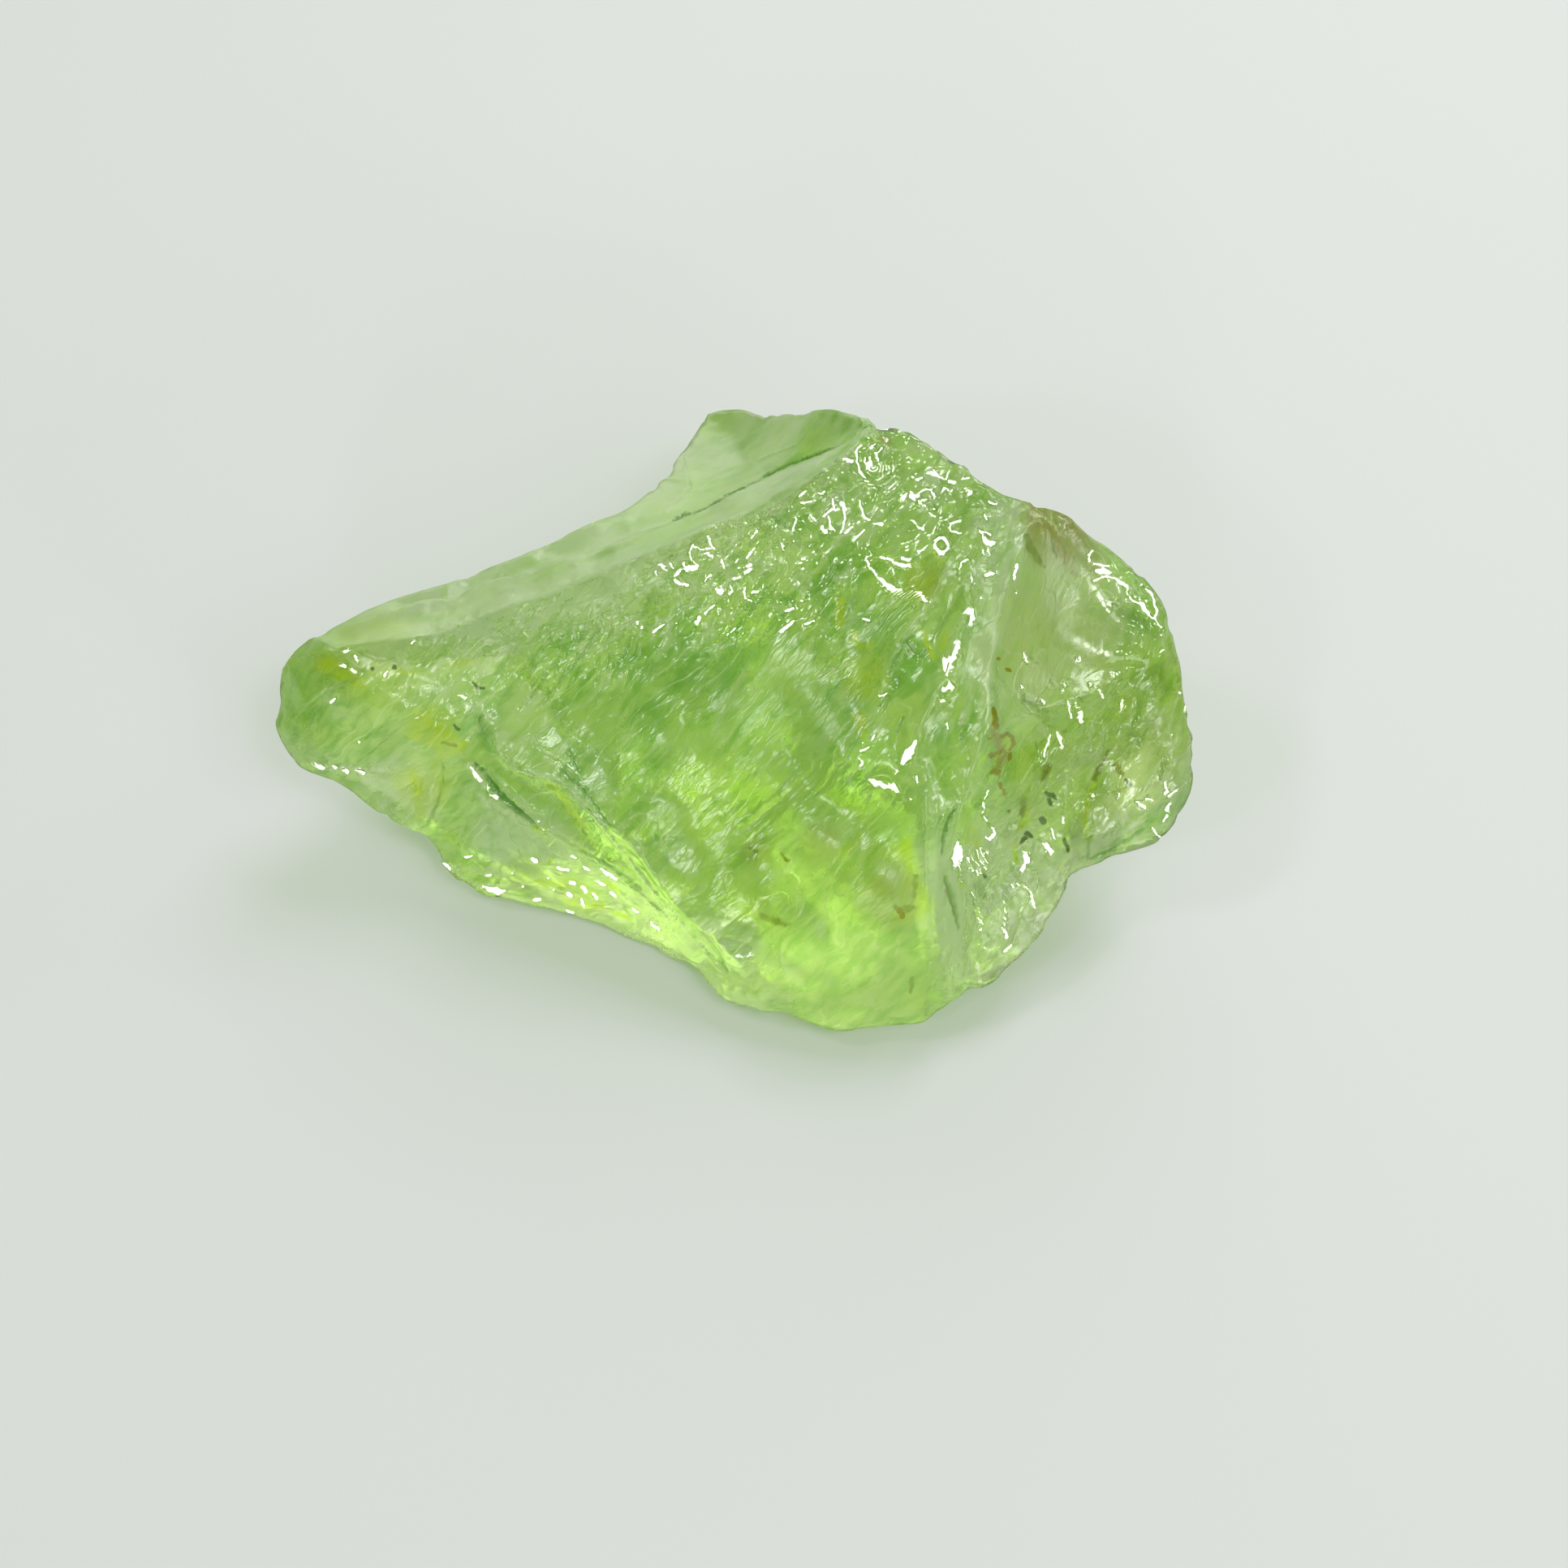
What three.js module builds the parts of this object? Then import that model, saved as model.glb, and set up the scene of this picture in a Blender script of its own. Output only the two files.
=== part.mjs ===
// A rough tsavorite garnet: one broken piece of clear green grossular, about 10 mm long.
// Units are millimetres and +Z is up. The stone lies on the plane z = 0.
//
// A rough stone has no crystal faces left. Its skin is a net of fracture faces that meet along ridges,
// so it is built as that net: corners, the ridges that join them, and the faces that the ridges frame.
// Each face is a film stretched over its ridges, then pressed in or out and chipped in small scallops.
import * as THREE from 'three';
import { SimplexNoise } from 'three/addons/math/SimplexNoise.js';

// Size of the triangles that make up the skin.
const GRAIN = 0.22;
// Small swing of every ridge and face, and the distance over which it changes.
const SWING = 0.04;
const SWING_SCALE = 0.7;
// The swing and the chips start this far above the flat sole, so that the sole stays flat.
const SOLE_FADE = 0.35;
// A chip's depth as a share of its width, and how far from a ridge the chips reach full depth.
const CHIP_DEPTH = 0.11;
const CHIP_FADE = 0.3;

// Corners, where three or more ridges meet: x to the right, y to the back, z up.
const corners = {
  noseTop: [-4.40, 0.25, 2.85],
  noseBack: [-4.61, 0.46, 2.75],
  noseSide: [-5.06, -0.01, 2.10],
  noseHeel: [-5.02, -0.34, 1.60],
  keel: [-3.23, -0.47, 1.78],
  ledgeHead: [-2.86, -0.14, 2.25],
  windowLow: [-3.69, -0.95, 0.95],
  windowFoot: [-1.68, -1.73, 0.12],
  toeLeft: [-0.52, -2.43, 0.35],
  ledgeFoot: [0.04, -2.58, 0.72],
  toeRight: [1.88, -2.95, 0.35],
  footRight: [2.26, -2.73, 0.55],
  columnMid: [1.75, -2.10, 1.80],
  knee: [1.70, -1.25, 2.50],
  elbow: [2.20, -1.35, 2.50],
  shelf: [2.40, -0.75, 2.95],
  linkIn: [2.35, 1.20, 3.85],
  ridgeTop: [2.91, 1.48, 3.75],
  crestEnd: [1.30, 2.26, 4.00],
  farCorner: [-0.49, 3.72, 2.10],
  backTop: [-1.38, 1.91, 2.90],
  rimEnd: [4.49, 0.33, 2.65],
  lobeTop: [4.05, 0.00, 2.75],
  notch: [3.50, -1.50, 1.10],
  backKnee: [-1.50, 1.60, 0.90],
};

// Corners of the flat sole that the stone rests on, counterclockwise from the front left.
const sole = [
  [-1.70, -1.45], [-0.50, -1.95], [0.90, -2.30], [2.10, -1.70], [2.60, -0.40],
  [1.90, 0.75], [1.05, 1.20], [0.30, 1.30], [-1.20, 0.60],
];

// Ridges, each a smooth curve from corner to corner through the points between them.
const ridges = {
  // The left end, a blunt nose.
  noseCap: ['noseTop', 'noseBack'],
  noseCrown: ['noseBack', [-4.92, 0.36, 2.55], [-5.01, 0.18, 2.35], 'noseSide'],
  noseCheek: ['noseSide', [-5.11, -0.22, 1.85], 'noseHeel'],
  noseRidge: ['noseHeel', [-4.75, -0.43, 1.58], [-4.23, -0.56, 1.58], [-3.85, -0.55, 1.66], 'keel'],
  noseUnder: ['noseHeel', [-4.92, -0.44, 1.42], [-4.50, -0.55, 1.30], [-4.11, -0.77, 1.10], 'windowLow'],
  shoulder: ['noseTop', [-3.90, -0.05, 2.65], [-3.30, -0.15, 2.45], 'ledgeHead'],
  brow: ['ledgeHead', [-3.00, -0.35, 2.00], 'keel'],

  // The glassy window low on the left, and the ledge above it.
  windowSide: ['keel', [-3.36, -0.70, 1.40], 'windowLow'],
  windowBase: ['windowLow', [-3.51, -1.06, 0.68], [-3.33, -1.26, 0.45], [-2.82, -1.47, 0.25], [-2.23, -1.55, 0.15],
    'windowFoot'],
  windowToe: ['windowFoot', [-1.14, -1.98, 0.10], 'toeLeft'],
  ledgeLow: ['keel', [-3.08, -0.47, 1.80], [-2.86, -0.71, 1.65], [-2.72, -0.89, 1.60], [-2.35, -1.11, 1.50],
    [-1.96, -1.28, 1.40], [-1.41, -1.59, 1.15], [-0.97, -1.90, 0.85], [-0.71, -2.18, 0.60], 'toeLeft'],
  ledgeTop: ['ledgeHead', [-2.71, -0.43, 2.10], [-2.49, -0.68, 2.00], [-1.91, -0.97, 1.95], [-1.62, -1.16, 1.75],
    [-1.32, -1.43, 1.60], [-0.96, -1.83, 1.25], [-0.52, -2.17, 1.00], 'ledgeFoot'],
  ledgeEnd: ['ledgeFoot', 'toeLeft'],

  // The crest over the top, and the back slope behind it.
  crest: ['noseTop', [-3.77, 0.29, 2.95], [-3.10, 0.43, 3.00], [-2.32, 0.66, 3.15], [-1.53, 0.90, 3.35],
    [-0.67, 1.17, 3.60], [-0.16, 1.31, 3.75], [0.38, 1.54, 3.90], [0.87, 1.85, 4.00], 'crestEnd'],
  crease: ['noseBack', [-3.60, 0.75, 2.90], [-2.40, 1.05, 3.10], [-1.25, 1.38, 3.25], [-0.64, 1.59, 3.35],
    [0.12, 1.90, 3.60], [0.90, 2.10, 3.85], 'crestEnd'],
  skylineArm: ['noseBack', [-4.07, 0.77, 2.75], [-3.50, 0.99, 2.78], [-2.47, 1.34, 2.90], [-1.96, 1.62, 2.92], 'backTop'],
  skylineRise: ['backTop', [-1.04, 2.31, 2.75], [-0.74, 3.05, 2.40], 'farCorner'],
  skylinePeak: ['farCorner', [-0.21, 3.64, 2.30], [0.23, 3.29, 2.70], [0.95, 2.73, 3.60], 'crestEnd'],
  skylineRight: ['crestEnd', [1.57, 2.21, 4.00], [1.90, 2.04, 4.00], [2.18, 1.83, 3.95], [2.37, 1.60, 3.90],
    [2.68, 1.52, 3.80], 'ridgeTop'],

  // The toe at the front.
  toeBase: ['toeLeft', [-0.27, -2.69, 0.30], [0.07, -2.84, 0.30], [0.33, -2.89, 0.35], [0.87, -3.04, 0.30],
    [1.40, -3.00, 0.30], 'toeRight'],
  toeLine: ['ledgeFoot', [0.46, -2.45, 1.10], [0.79, -2.21, 1.50], [1.02, -2.00, 1.85], [1.37, -1.96, 1.90],
    'columnMid'],
  toeEnd: ['toeRight', 'footRight'],

  // The rounded column that runs down the front, and the steep flank beside its upper half.
  flankLeft: ['linkIn', [2.21, 0.97, 3.80], [1.89, 0.53, 3.55], [1.51, 0.04, 3.25], [1.29, -0.35, 2.85],
    [1.31, -0.77, 2.60], 'knee'],
  flankRight: ['linkIn', [2.25, 0.37, 3.65], [2.05, -0.06, 3.40], [1.88, -0.49, 3.15], [1.70, -0.76, 2.95], 'knee'],
  columnHigh: ['knee', [1.74, -1.70, 2.20], 'columnMid'],
  columnLow: ['columnMid', [1.84, -2.56, 1.20], 'toeRight'],
  bridge: ['knee', 'elbow'],
  link: ['linkIn', 'ridgeTop'],
  spineHigh: ['ridgeTop', [2.74, 0.83, 3.70], [2.62, 0.43, 3.55], [2.53, 0.04, 3.40], [2.47, -0.33, 3.20], 'shelf'],
  spineMid: ['shelf', [2.30, -1.08, 2.75], 'elbow'],
  spineLow: ['elbow', [2.06, -1.75, 2.10], [2.11, -2.17, 1.60], [2.20, -2.52, 1.10], 'footRight'],

  // The right end: a smooth plateau with a narrow rim, a lobe, and a basin below them.
  rimOuter: ['ridgeTop', [3.29, 1.48, 3.50], [3.74, 1.30, 3.20], [4.11, 1.10, 3.00], [4.35, 0.86, 2.85], 'rimEnd'],
  rimInner: ['ridgeTop', [3.26, 1.19, 3.50], [3.68, 0.65, 3.20], [4.04, 0.37, 2.95], 'rimEnd'],
  shelfLine: ['shelf', [2.90, -0.52, 2.85], [3.46, -0.31, 2.85], 'lobeTop'],
  shelfEnd: ['lobeTop', 'rimEnd'],
  lobeOuter: ['rimEnd', [4.66, -0.28, 2.20], [4.72, -0.68, 1.95], [4.65, -1.04, 1.60], [4.38, -1.27, 1.35],
    [3.93, -1.36, 1.15], 'notch'],
  lobeInner: ['lobeTop', [3.93, -0.31, 2.45], [3.78, -0.76, 2.00], [3.64, -1.19, 1.50], 'notch'],
  basinLine: ['elbow', [2.67, -1.05, 2.30], [3.23, -1.14, 1.70], 'notch'],
  basinBase: ['notch', [3.42, -1.65, 1.00], [3.22, -2.02, 0.90], [2.86, -2.38, 0.75], [2.58, -2.63, 0.62], 'footRight'],

  // The underside and the back, out of sight in most views.
  bellyKeel: ['noseHeel', [-4.30, -0.20, 1.05], [-3.40, -0.50, 0.50], [-2.50, -0.90, 0.12], 'sole0'],
  soleFront: ['sole0', 'windowFoot'],
  armKeel: ['noseSide', [-4.20, 0.65, 1.75], [-3.00, 1.20, 1.50], [-2.20, 1.50, 1.20], 'backKnee'],
  kneeFoot: ['backKnee', 'sole8'],
  backRib: ['backTop', [-1.60, 1.95, 2.00], 'backKnee'],
  backEdge: ['farCorner', [-0.40, 3.50, 1.55], [-0.05, 2.85, 0.85], [0.20, 2.00, 0.30], 'sole7'],
  centreRib: ['crestEnd', [1.40, 2.75, 2.75], [1.30, 2.55, 1.60], [1.15, 1.90, 0.60], 'sole6'],
  rightRib: ['ridgeTop', [3.00, 1.85, 2.65], [2.75, 1.65, 1.50], [2.35, 1.25, 0.60], 'sole5'],
  sideEdge: ['rimEnd', [4.25, 0.70, 1.90], [3.40, 0.35, 0.80], 'sole4'],
  notchEdge: ['notch', [3.00, -1.35, 0.45], 'sole3'],
};
sole.forEach(([x, y], i) => {
  corners[`sole${i}`] = [x, y, 0];
  ridges[`soleEdge${i}`] = [`sole${i}`, `sole${(i + 1) % sole.length}`];
});
const soleRim = sole.map((_, i) => `-soleEdge${i}`).reverse();

// Faces, each framed counterclockwise as seen from outside. A minus sign runs a ridge backwards.
// press is how far the middle is pressed in, or out if negative. chip is the width of its chips.
const faces = [
  { rim: ['crease', '-skylinePeak', '-skylineRise', '-skylineArm'], press: 0.30, chip: 0 },
  { rim: ['crest', '-crease', '-noseCap'], press: 0.04, chip: 0 },
  { rim: ['noseCap', 'noseCrown', 'noseCheek', 'noseRidge', '-brow', '-shoulder'], press: -0.12, chip: 0 },
  { rim: ['noseUnder', '-windowSide', '-noseRidge'], press: 0.05, chip: 0 },
  { rim: ['windowSide', 'windowBase', 'windowToe', '-ledgeLow'], press: 0.06, chip: 0 },
  { rim: ['brow', 'ledgeLow', '-ledgeEnd', '-ledgeTop'], press: 0.05, chip: 0.4 },
  { rim: ['shoulder', 'ledgeTop', 'toeLine', '-columnHigh', '-flankLeft', 'link', '-skylineRight', '-crest'],
    press: 0.25, chip: 0.75 },
  { rim: ['ledgeEnd', 'toeBase', '-columnLow', '-toeLine'], press: -0.08, chip: 0.6 },
  { rim: ['flankLeft', '-flankRight'], press: 0.08, chip: 0.5 },
  { rim: ['flankRight', 'bridge', '-spineMid', '-spineHigh', '-link'], press: 0.06, chip: 0.5 },
  { rim: ['columnHigh', 'columnLow', 'toeEnd', '-spineLow', '-bridge'], press: -0.06, chip: 0 },
  { rim: ['spineHigh', 'shelfLine', 'shelfEnd', '-rimInner'], press: 0.16, chip: 0 },
  { rim: ['rimInner', '-rimOuter'], press: -0.05, chip: 0.45 },
  { rim: ['spineMid', 'basinLine', '-lobeInner', '-shelfLine'], press: 0.12, chip: 0.5 },
  { rim: ['spineLow', '-basinBase', '-basinLine'], press: 0.22, chip: 0.6 },
  { rim: ['lobeInner', '-lobeOuter', '-shelfEnd'], press: -0.10, chip: 0.55 },
  { rim: ['-windowBase', '-noseUnder', 'bellyKeel', 'soleFront'], press: -0.05, chip: 0.5 },
  { rim: ['-noseCheek', 'armKeel', 'kneeFoot', 'soleEdge8', '-bellyKeel'], press: 0.05, chip: 0.9 },
  { rim: ['-noseCrown', 'skylineArm', 'backRib', '-armKeel'], press: -0.10, chip: 0.9 },
  { rim: ['skylineRise', 'backEdge', 'soleEdge7', '-kneeFoot', '-backRib'], press: 0.20, chip: 0.9 },
  { rim: ['skylinePeak', 'centreRib', 'soleEdge6', '-backEdge'], press: -0.10, chip: 0.9 },
  { rim: ['skylineRight', 'rightRib', 'soleEdge5', '-centreRib'], press: 0.15, chip: 1.0 },
  { rim: ['rimOuter', 'sideEdge', 'soleEdge4', '-rightRib'], press: -0.12, chip: 0.9 },
  { rim: ['lobeOuter', 'notchEdge', 'soleEdge3', '-sideEdge'], press: 0.12, chip: 0.8 },
  { rim: ['basinBase', '-toeEnd', '-toeBase', '-windowToe', '-soleFront', 'soleEdge0', 'soleEdge1', 'soleEdge2',
    '-notchEdge'], press: 0.02, chip: 0 },
  { rim: soleRim, press: 0, chip: 0 },
];

// A repeatable stream of numbers from 0 to 1, for the noise.
function seededRandom(seed) {
  let state = seed;
  return () => {
    state = (state * 16807) % 2147483647;
    return state / 2147483647;
  };
}
const noise = new SimplexNoise({ random: seededRandom(7) });

// Where the jittered centre of one chip cell is, for whole cell numbers i, j and k.
function chipCentre(i, j, k, width) {
  const jitter = (n) => {
    const s = Math.sin(i * 127.1 + j * 311.7 + k * 74.7 + n * 53.3) * 43758.5453;
    return s - Math.floor(s);
  };
  return new THREE.Vector3(i + jitter(0), j + jitter(1), k + jitter(2)).multiplyScalar(width);
}

// Depth of the chips at a point: scoops round the nearest centres, with sharp edges between them.
function chipDepth(point, width) {
  const cell = point.clone().divideScalar(width).floor();
  let nearest = Infinity;
  for (let i = -1; i <= 1; i++)
    for (let j = -1; j <= 1; j++)
      for (let k = -1; k <= 1; k++)
        nearest = Math.min(nearest,
          chipCentre(cell.x + i, cell.y + j, cell.z + k, width).distanceToSquared(point));
  return CHIP_DEPTH * width * (0.5 - Math.min(1, 2 * nearest / width ** 2));
}

// All points of the skin, shared by the faces, so that the faces close along their ridges.
const points = [];
const cornerIndex = new Map();
function indexOfCorner(name) {
  if (!cornerIndex.has(name)) {
    cornerIndex.set(name, points.length);
    points.push(new THREE.Vector3(...corners[name]));
  }
  return cornerIndex.get(name);
}

// Samples a ridge at the grain and returns the indices of its points, ends included.
function sampleRidge([...stops]) {
  const first = stops[0], last = stops[stops.length - 1];
  const along = stops.map((s) => new THREE.Vector3(...(typeof s === 'string' ? corners[s] : s)));
  const curve = new THREE.CatmullRomCurve3(along, false, 'centripetal');
  const steps = Math.max(1, Math.round(curve.getLength() / GRAIN));
  const indices = [indexOfCorner(first)];
  for (let i = 1; i < steps; i++) {
    indices.push(points.length);
    points.push(curve.getPointAt(i / steps));
  }
  indices.push(indexOfCorner(last));
  return indices;
}
const ridgeIndices = Object.fromEntries(Object.entries(ridges).map(([name, stops]) => [name, sampleRidge(stops)]));

// The closed loop of point indices round a face.
function rimLoop(rim) {
  return rim.flatMap((name) => {
    const back = name.startsWith('-');
    const indices = ridgeIndices[back ? name.slice(1) : name];
    return (back ? [...indices].reverse() : indices).slice(0, -1);
  });
}

// Triangles that fill a loop, found on the flat view along the loop's own normal.
function fillLoop(loop) {
  const normal = new THREE.Vector3();
  loop.forEach((index, i) => {
    normal.add(points[index].clone().cross(points[loop[(i + 1) % loop.length]]));
  });
  const flatten = new THREE.Quaternion().setFromUnitVectors(normal.normalize(), new THREE.Vector3(0, 0, 1));
  const outline = loop.map((index) => points[index].clone().applyQuaternion(flatten))
    .map((p) => new THREE.Vector2(p.x, p.y));
  return THREE.ShapeUtils.triangulateShape(outline, []).map((t) => t.map((i) => loop[i]));
}

// For each side of the triangles, its two ends and the triangles on it, with the corner across from it.
function sidesOf(triangles) {
  const sides = new Map();
  triangles.forEach((t, index) => {
    for (let i = 0; i < 3; i++) {
      const a = t[i], b = t[(i + 1) % 3];
      const key = a < b ? `${a},${b}` : `${b},${a}`;
      if (!sides.has(key)) sides.set(key, { a, b, users: [] });
      sides.get(key).users.push({ index, across: t[(i + 2) % 3] });
    }
  });
  return sides;
}

// Halves every inner side that is longer than the limit. Rim sides stay, because a neighbour shares them.
function splitLongSides(triangles, limit) {
  const middles = new Map();
  for (const [key, { a, b, users }] of sidesOf(triangles)) {
    if (users.length === 2 && points[a].distanceTo(points[b]) > limit) {
      middles.set(key, points.length);
      points.push(points[a].clone().lerp(points[b], 0.5));
    }
  }
  const middleOf = (a, b) => middles.get(a < b ? `${a},${b}` : `${b},${a}`);
  return triangles.flatMap(([a, b, c]) => {
    const ab = middleOf(a, b), bc = middleOf(b, c), ca = middleOf(c, a);
    const count = [ab, bc, ca].filter((m) => m !== undefined).length;
    if (count === 0) return [[a, b, c]];
    if (count === 3) return [[a, ab, ca], [ab, b, bc], [ca, bc, c], [ab, bc, ca]];
    // Turn the triangle until its first side is halved and, with two halved, its third isn't.
    let turned = [a, b, c], halves = [ab, bc, ca];
    while (halves[0] === undefined || (count === 2 && halves[2] !== undefined)) {
      turned = [turned[1], turned[2], turned[0]];
      halves = [halves[1], halves[2], halves[0]];
    }
    const [p, q, r] = turned, [pq, qr] = halves;
    return count === 1 ? [[p, pq, r], [pq, q, r]] : [[p, pq, r], [pq, qr, r], [pq, q, qr]];
  });
}

// Angle at c between a and b.
function angleAt(c, a, b) {
  return points[a].clone().sub(points[c]).angleTo(points[b].clone().sub(points[c]));
}
function normalOf([a, b, c]) {
  return points[b].clone().sub(points[a]).cross(points[c].clone().sub(points[a]));
}

// Swaps the diagonal of two neighbours where that makes them less thin.
function swapDiagonals(triangles) {
  const sides = sidesOf(triangles);
  const touched = new Set();
  for (const { users } of sides.values()) {
    if (users.length !== 2) continue;
    const [{ index: first, across: c }, { index: second, across: d }] = users;
    if (touched.has(first) || touched.has(second) || sides.has(c < d ? `${c},${d}` : `${d},${c}`)) continue;
    const turn = triangles[first].indexOf(c);
    const a = triangles[first][(turn + 1) % 3], b = triangles[first][(turn + 2) % 3];
    if (angleAt(c, a, b) + angleAt(d, a, b) < Math.PI + 1e-3) continue;
    const made = [[c, a, d], [d, b, c]];
    const old = normalOf(triangles[first]).add(normalOf(triangles[second]));
    if (made.some((t) => normalOf(t).dot(old) <= 0)) continue;
    [triangles[first], triangles[second]] = made;
    touched.add(first).add(second);
  }
  return touched.size > 0;
}

// Moves each inner point to the middle of its neighbours, which stretches the film tight over the rim.
function stretchFilm(triangles, fixed, rounds) {
  const neighbours = new Map();
  for (const { a, b } of sidesOf(triangles).values()) {
    for (const [from, to] of [[a, b], [b, a]]) {
      if (fixed.has(from)) continue;
      if (!neighbours.has(from)) neighbours.set(from, []);
      neighbours.get(from).push(to);
    }
  }
  for (let round = 0; round < rounds; round++) {
    for (const [index, others] of neighbours) {
      const middle = new THREE.Vector3();
      others.forEach((other) => middle.add(points[other]));
      points[index].copy(middle.divideScalar(others.length));
    }
  }
  return [...neighbours.keys()];
}

// One face: fills the rim, refines it to the grain, stretches it tight, then presses and chips it.
function makeFace({ rim, press, chip }) {
  const loop = rimLoop(rim);
  const fixed = new Set(loop);
  let triangles = fillLoop(loop);
  for (const limit of [8, 4, 2, 1.35, 1.35, 1.35].map((share) => share * GRAIN)) {
    triangles = splitLongSides(triangles, limit);
    for (let pass = 0; pass < 8 && swapDiagonals(triangles); pass++);
    stretchFilm(triangles, fixed, 6);
  }
  const inner = stretchFilm(triangles, fixed, 60);
  pressAndChip(triangles, inner, loop, press, chip);
  return triangles;
}

// Moves the inner points of a face along its normals, by its press and its chips.
function pressAndChip(triangles, inner, loop, press, chip) {
  const normals = new Map(inner.map((index) => [index, new THREE.Vector3()]));
  for (const t of triangles) {
    const normal = normalOf(t);
    t.forEach((index) => normals.get(index)?.add(normal));
  }
  const toRim = new Map(inner.map((index) => [index, Math.min(...loop.map((r) => points[r].distanceTo(points[index])))]));
  const farthest = Math.max(...toRim.values(), GRAIN);
  for (const index of inner) {
    const distance = toRim.get(index);
    const share = 1 - distance / farthest;
    let move = -press * (1 - share * share);
    if (chip > 0) move += chipDepth(points[index], chip) * Math.min(1, distance / CHIP_FADE) * fadeAtSole(points[index]);
    points[index].addScaledVector(normals.get(index).normalize(), move);
  }
}

// 0 on the sole, rising to 1 a little above it.
function fadeAtSole(point) {
  return Math.min(1, Math.max(0, point.z) / SOLE_FADE);
}

// The small swing of the whole skin, with the sole kept flat.
function swing(point) {
  const at = point.clone().divideScalar(SWING_SCALE);
  const move = [0, 10, 20].map((shift) => noise.noise3d(at.x + shift, at.y, at.z));
  point.add(new THREE.Vector3(...move).multiplyScalar(SWING * fadeAtSole(point)));
}

// The garnet's finish: a glassy green, seen through.
function makeMaterial() {
  return new THREE.MeshPhysicalMaterial({
    color: 0x9fd46a,
    roughness: 0.12,
    metalness: 0,
    transmission: 0.9,
    ior: 1.74,
    thickness: 4,
    attenuationColor: 0x7fc24a,
    attenuationDistance: 4,
  });
}

// The whole stone, set with the middle of its outline over the origin.
function makeStone() {
  const triangles = faces.flatMap(makeFace);
  points.forEach(swing);
  const geometry = new THREE.BufferGeometry().setFromPoints(points);
  geometry.setIndex(triangles.flat());
  geometry.computeVertexNormals();
  geometry.computeBoundingBox();
  const stone = new THREE.Mesh(geometry, makeMaterial());
  stone.name = 'tsavorite_garnet';
  const middle = geometry.boundingBox.getCenter(new THREE.Vector3());
  stone.position.set(-middle.x, -middle.y, 0);
  return stone;
}

const garnet = new THREE.Group();
garnet.add(makeStone());
export default garnet;
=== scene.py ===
# %% [markdown]
# A rough tsavorite garnet
#
# The piece in this notebook is one small stone, about 10 mm long: a broken lump of clear green garnet.
# It was never cut or polished. Its skin is a net of fracture faces that meet along ridges, and light
# goes through it. So the work falls into three parts: a skin with relief down to a few hundredths of a
# millimetre, the glints, stains and pale veils on it, and a glass that takes its green from its depth.
# The solid model is loaded first. It gives the net of faces, its size and its place.

# %% Load the stone
import math

import bmesh
import bpy
import numpy as np
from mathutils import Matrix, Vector


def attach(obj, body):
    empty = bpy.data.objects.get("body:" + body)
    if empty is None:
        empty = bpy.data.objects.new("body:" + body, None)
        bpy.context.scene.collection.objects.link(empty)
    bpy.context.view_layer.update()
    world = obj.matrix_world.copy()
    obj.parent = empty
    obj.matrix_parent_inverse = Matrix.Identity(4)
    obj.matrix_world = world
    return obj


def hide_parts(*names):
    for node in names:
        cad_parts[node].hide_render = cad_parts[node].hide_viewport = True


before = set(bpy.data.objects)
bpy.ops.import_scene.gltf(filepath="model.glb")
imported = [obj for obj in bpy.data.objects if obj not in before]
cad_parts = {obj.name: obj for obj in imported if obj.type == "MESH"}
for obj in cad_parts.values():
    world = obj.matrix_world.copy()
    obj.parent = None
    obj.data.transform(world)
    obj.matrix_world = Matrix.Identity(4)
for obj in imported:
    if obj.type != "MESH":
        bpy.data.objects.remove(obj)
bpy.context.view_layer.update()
MM = 0.001

# %% [markdown]
# The view
#
# A stone this small is photographed from close above. The camera stands about 30 mm away and looks
# down at 64 degrees. Blender could also frame the stone with a longer lens from further off, but then
# the near toe wouldn't look larger than the far peak, as it does from close up.

# %% Set up the camera
TILT_DOWN = math.radians(64)
CAMERA_SPOT = Vector((0.555, -13.362, 26.894)) * MM
LENS = 60.13
SENSOR = 36.0


def show(thing, name):
    """Puts a mesh, light or camera in the scene as an object."""
    shown = bpy.data.objects.new(name, thing)
    bpy.context.scene.collection.objects.link(shown)
    return shown


camera = show(bpy.data.cameras.new("close_camera"), "close_camera")
camera.data.lens = LENS
camera.data.sensor_width = SENSOR
camera.data.clip_start = 1 * MM
camera.data.clip_end = 1.0
camera.location = CAMERA_SPOT
camera.rotation_euler = (math.pi / 2 - TILT_DOWN, 0, 0)
bpy.context.scene.camera = camera
print("camera height, mm:", round(camera.location.z / MM, 1))

# %% [markdown]
# The lamps
#
# The stone is lit by large soft boxes behind and beside it, and by small bright lamps around it. They
# are listed here, before the stone is made, because the white glints are small flat breaks in the skin,
# and each of them lies so that it mirrors one of the lamps.

# %% List the lamps
# Azimuth and elevation in degrees, distance and size in millimetres, and radiance.
LAMPS = {
    "back_softbox": (95, 20, 100, 90, 1.5),
    "key_window": (58, 52, 80, 30, 8.2),
    "side_softbox": (-40, 54, 80, 36, 2.2),
    "front_lamp": (-96, 26, 75, 10, 15.0),
    "high_lamp": (-55, 66, 75, 11, 15.0),
    "left_lamp": (172, 58, 75, 11, 15.0),
    "low_left_lamp": (-138, 46, 75, 10, 14.0),
    "right_lamp": (25, 24, 75, 10, 12.0),
    "low_right_lamp": (-48, 24, 75, 10, 12.0),
}


def direction(azimuth, elevation):
    """The unit vector that points to an azimuth and elevation, in degrees."""
    turn, rise = math.radians(azimuth), math.radians(elevation)
    return np.array((math.cos(turn) * math.cos(rise), math.sin(turn) * math.cos(rise), math.sin(rise)))


print("lamps:", ", ".join(LAMPS))

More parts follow.
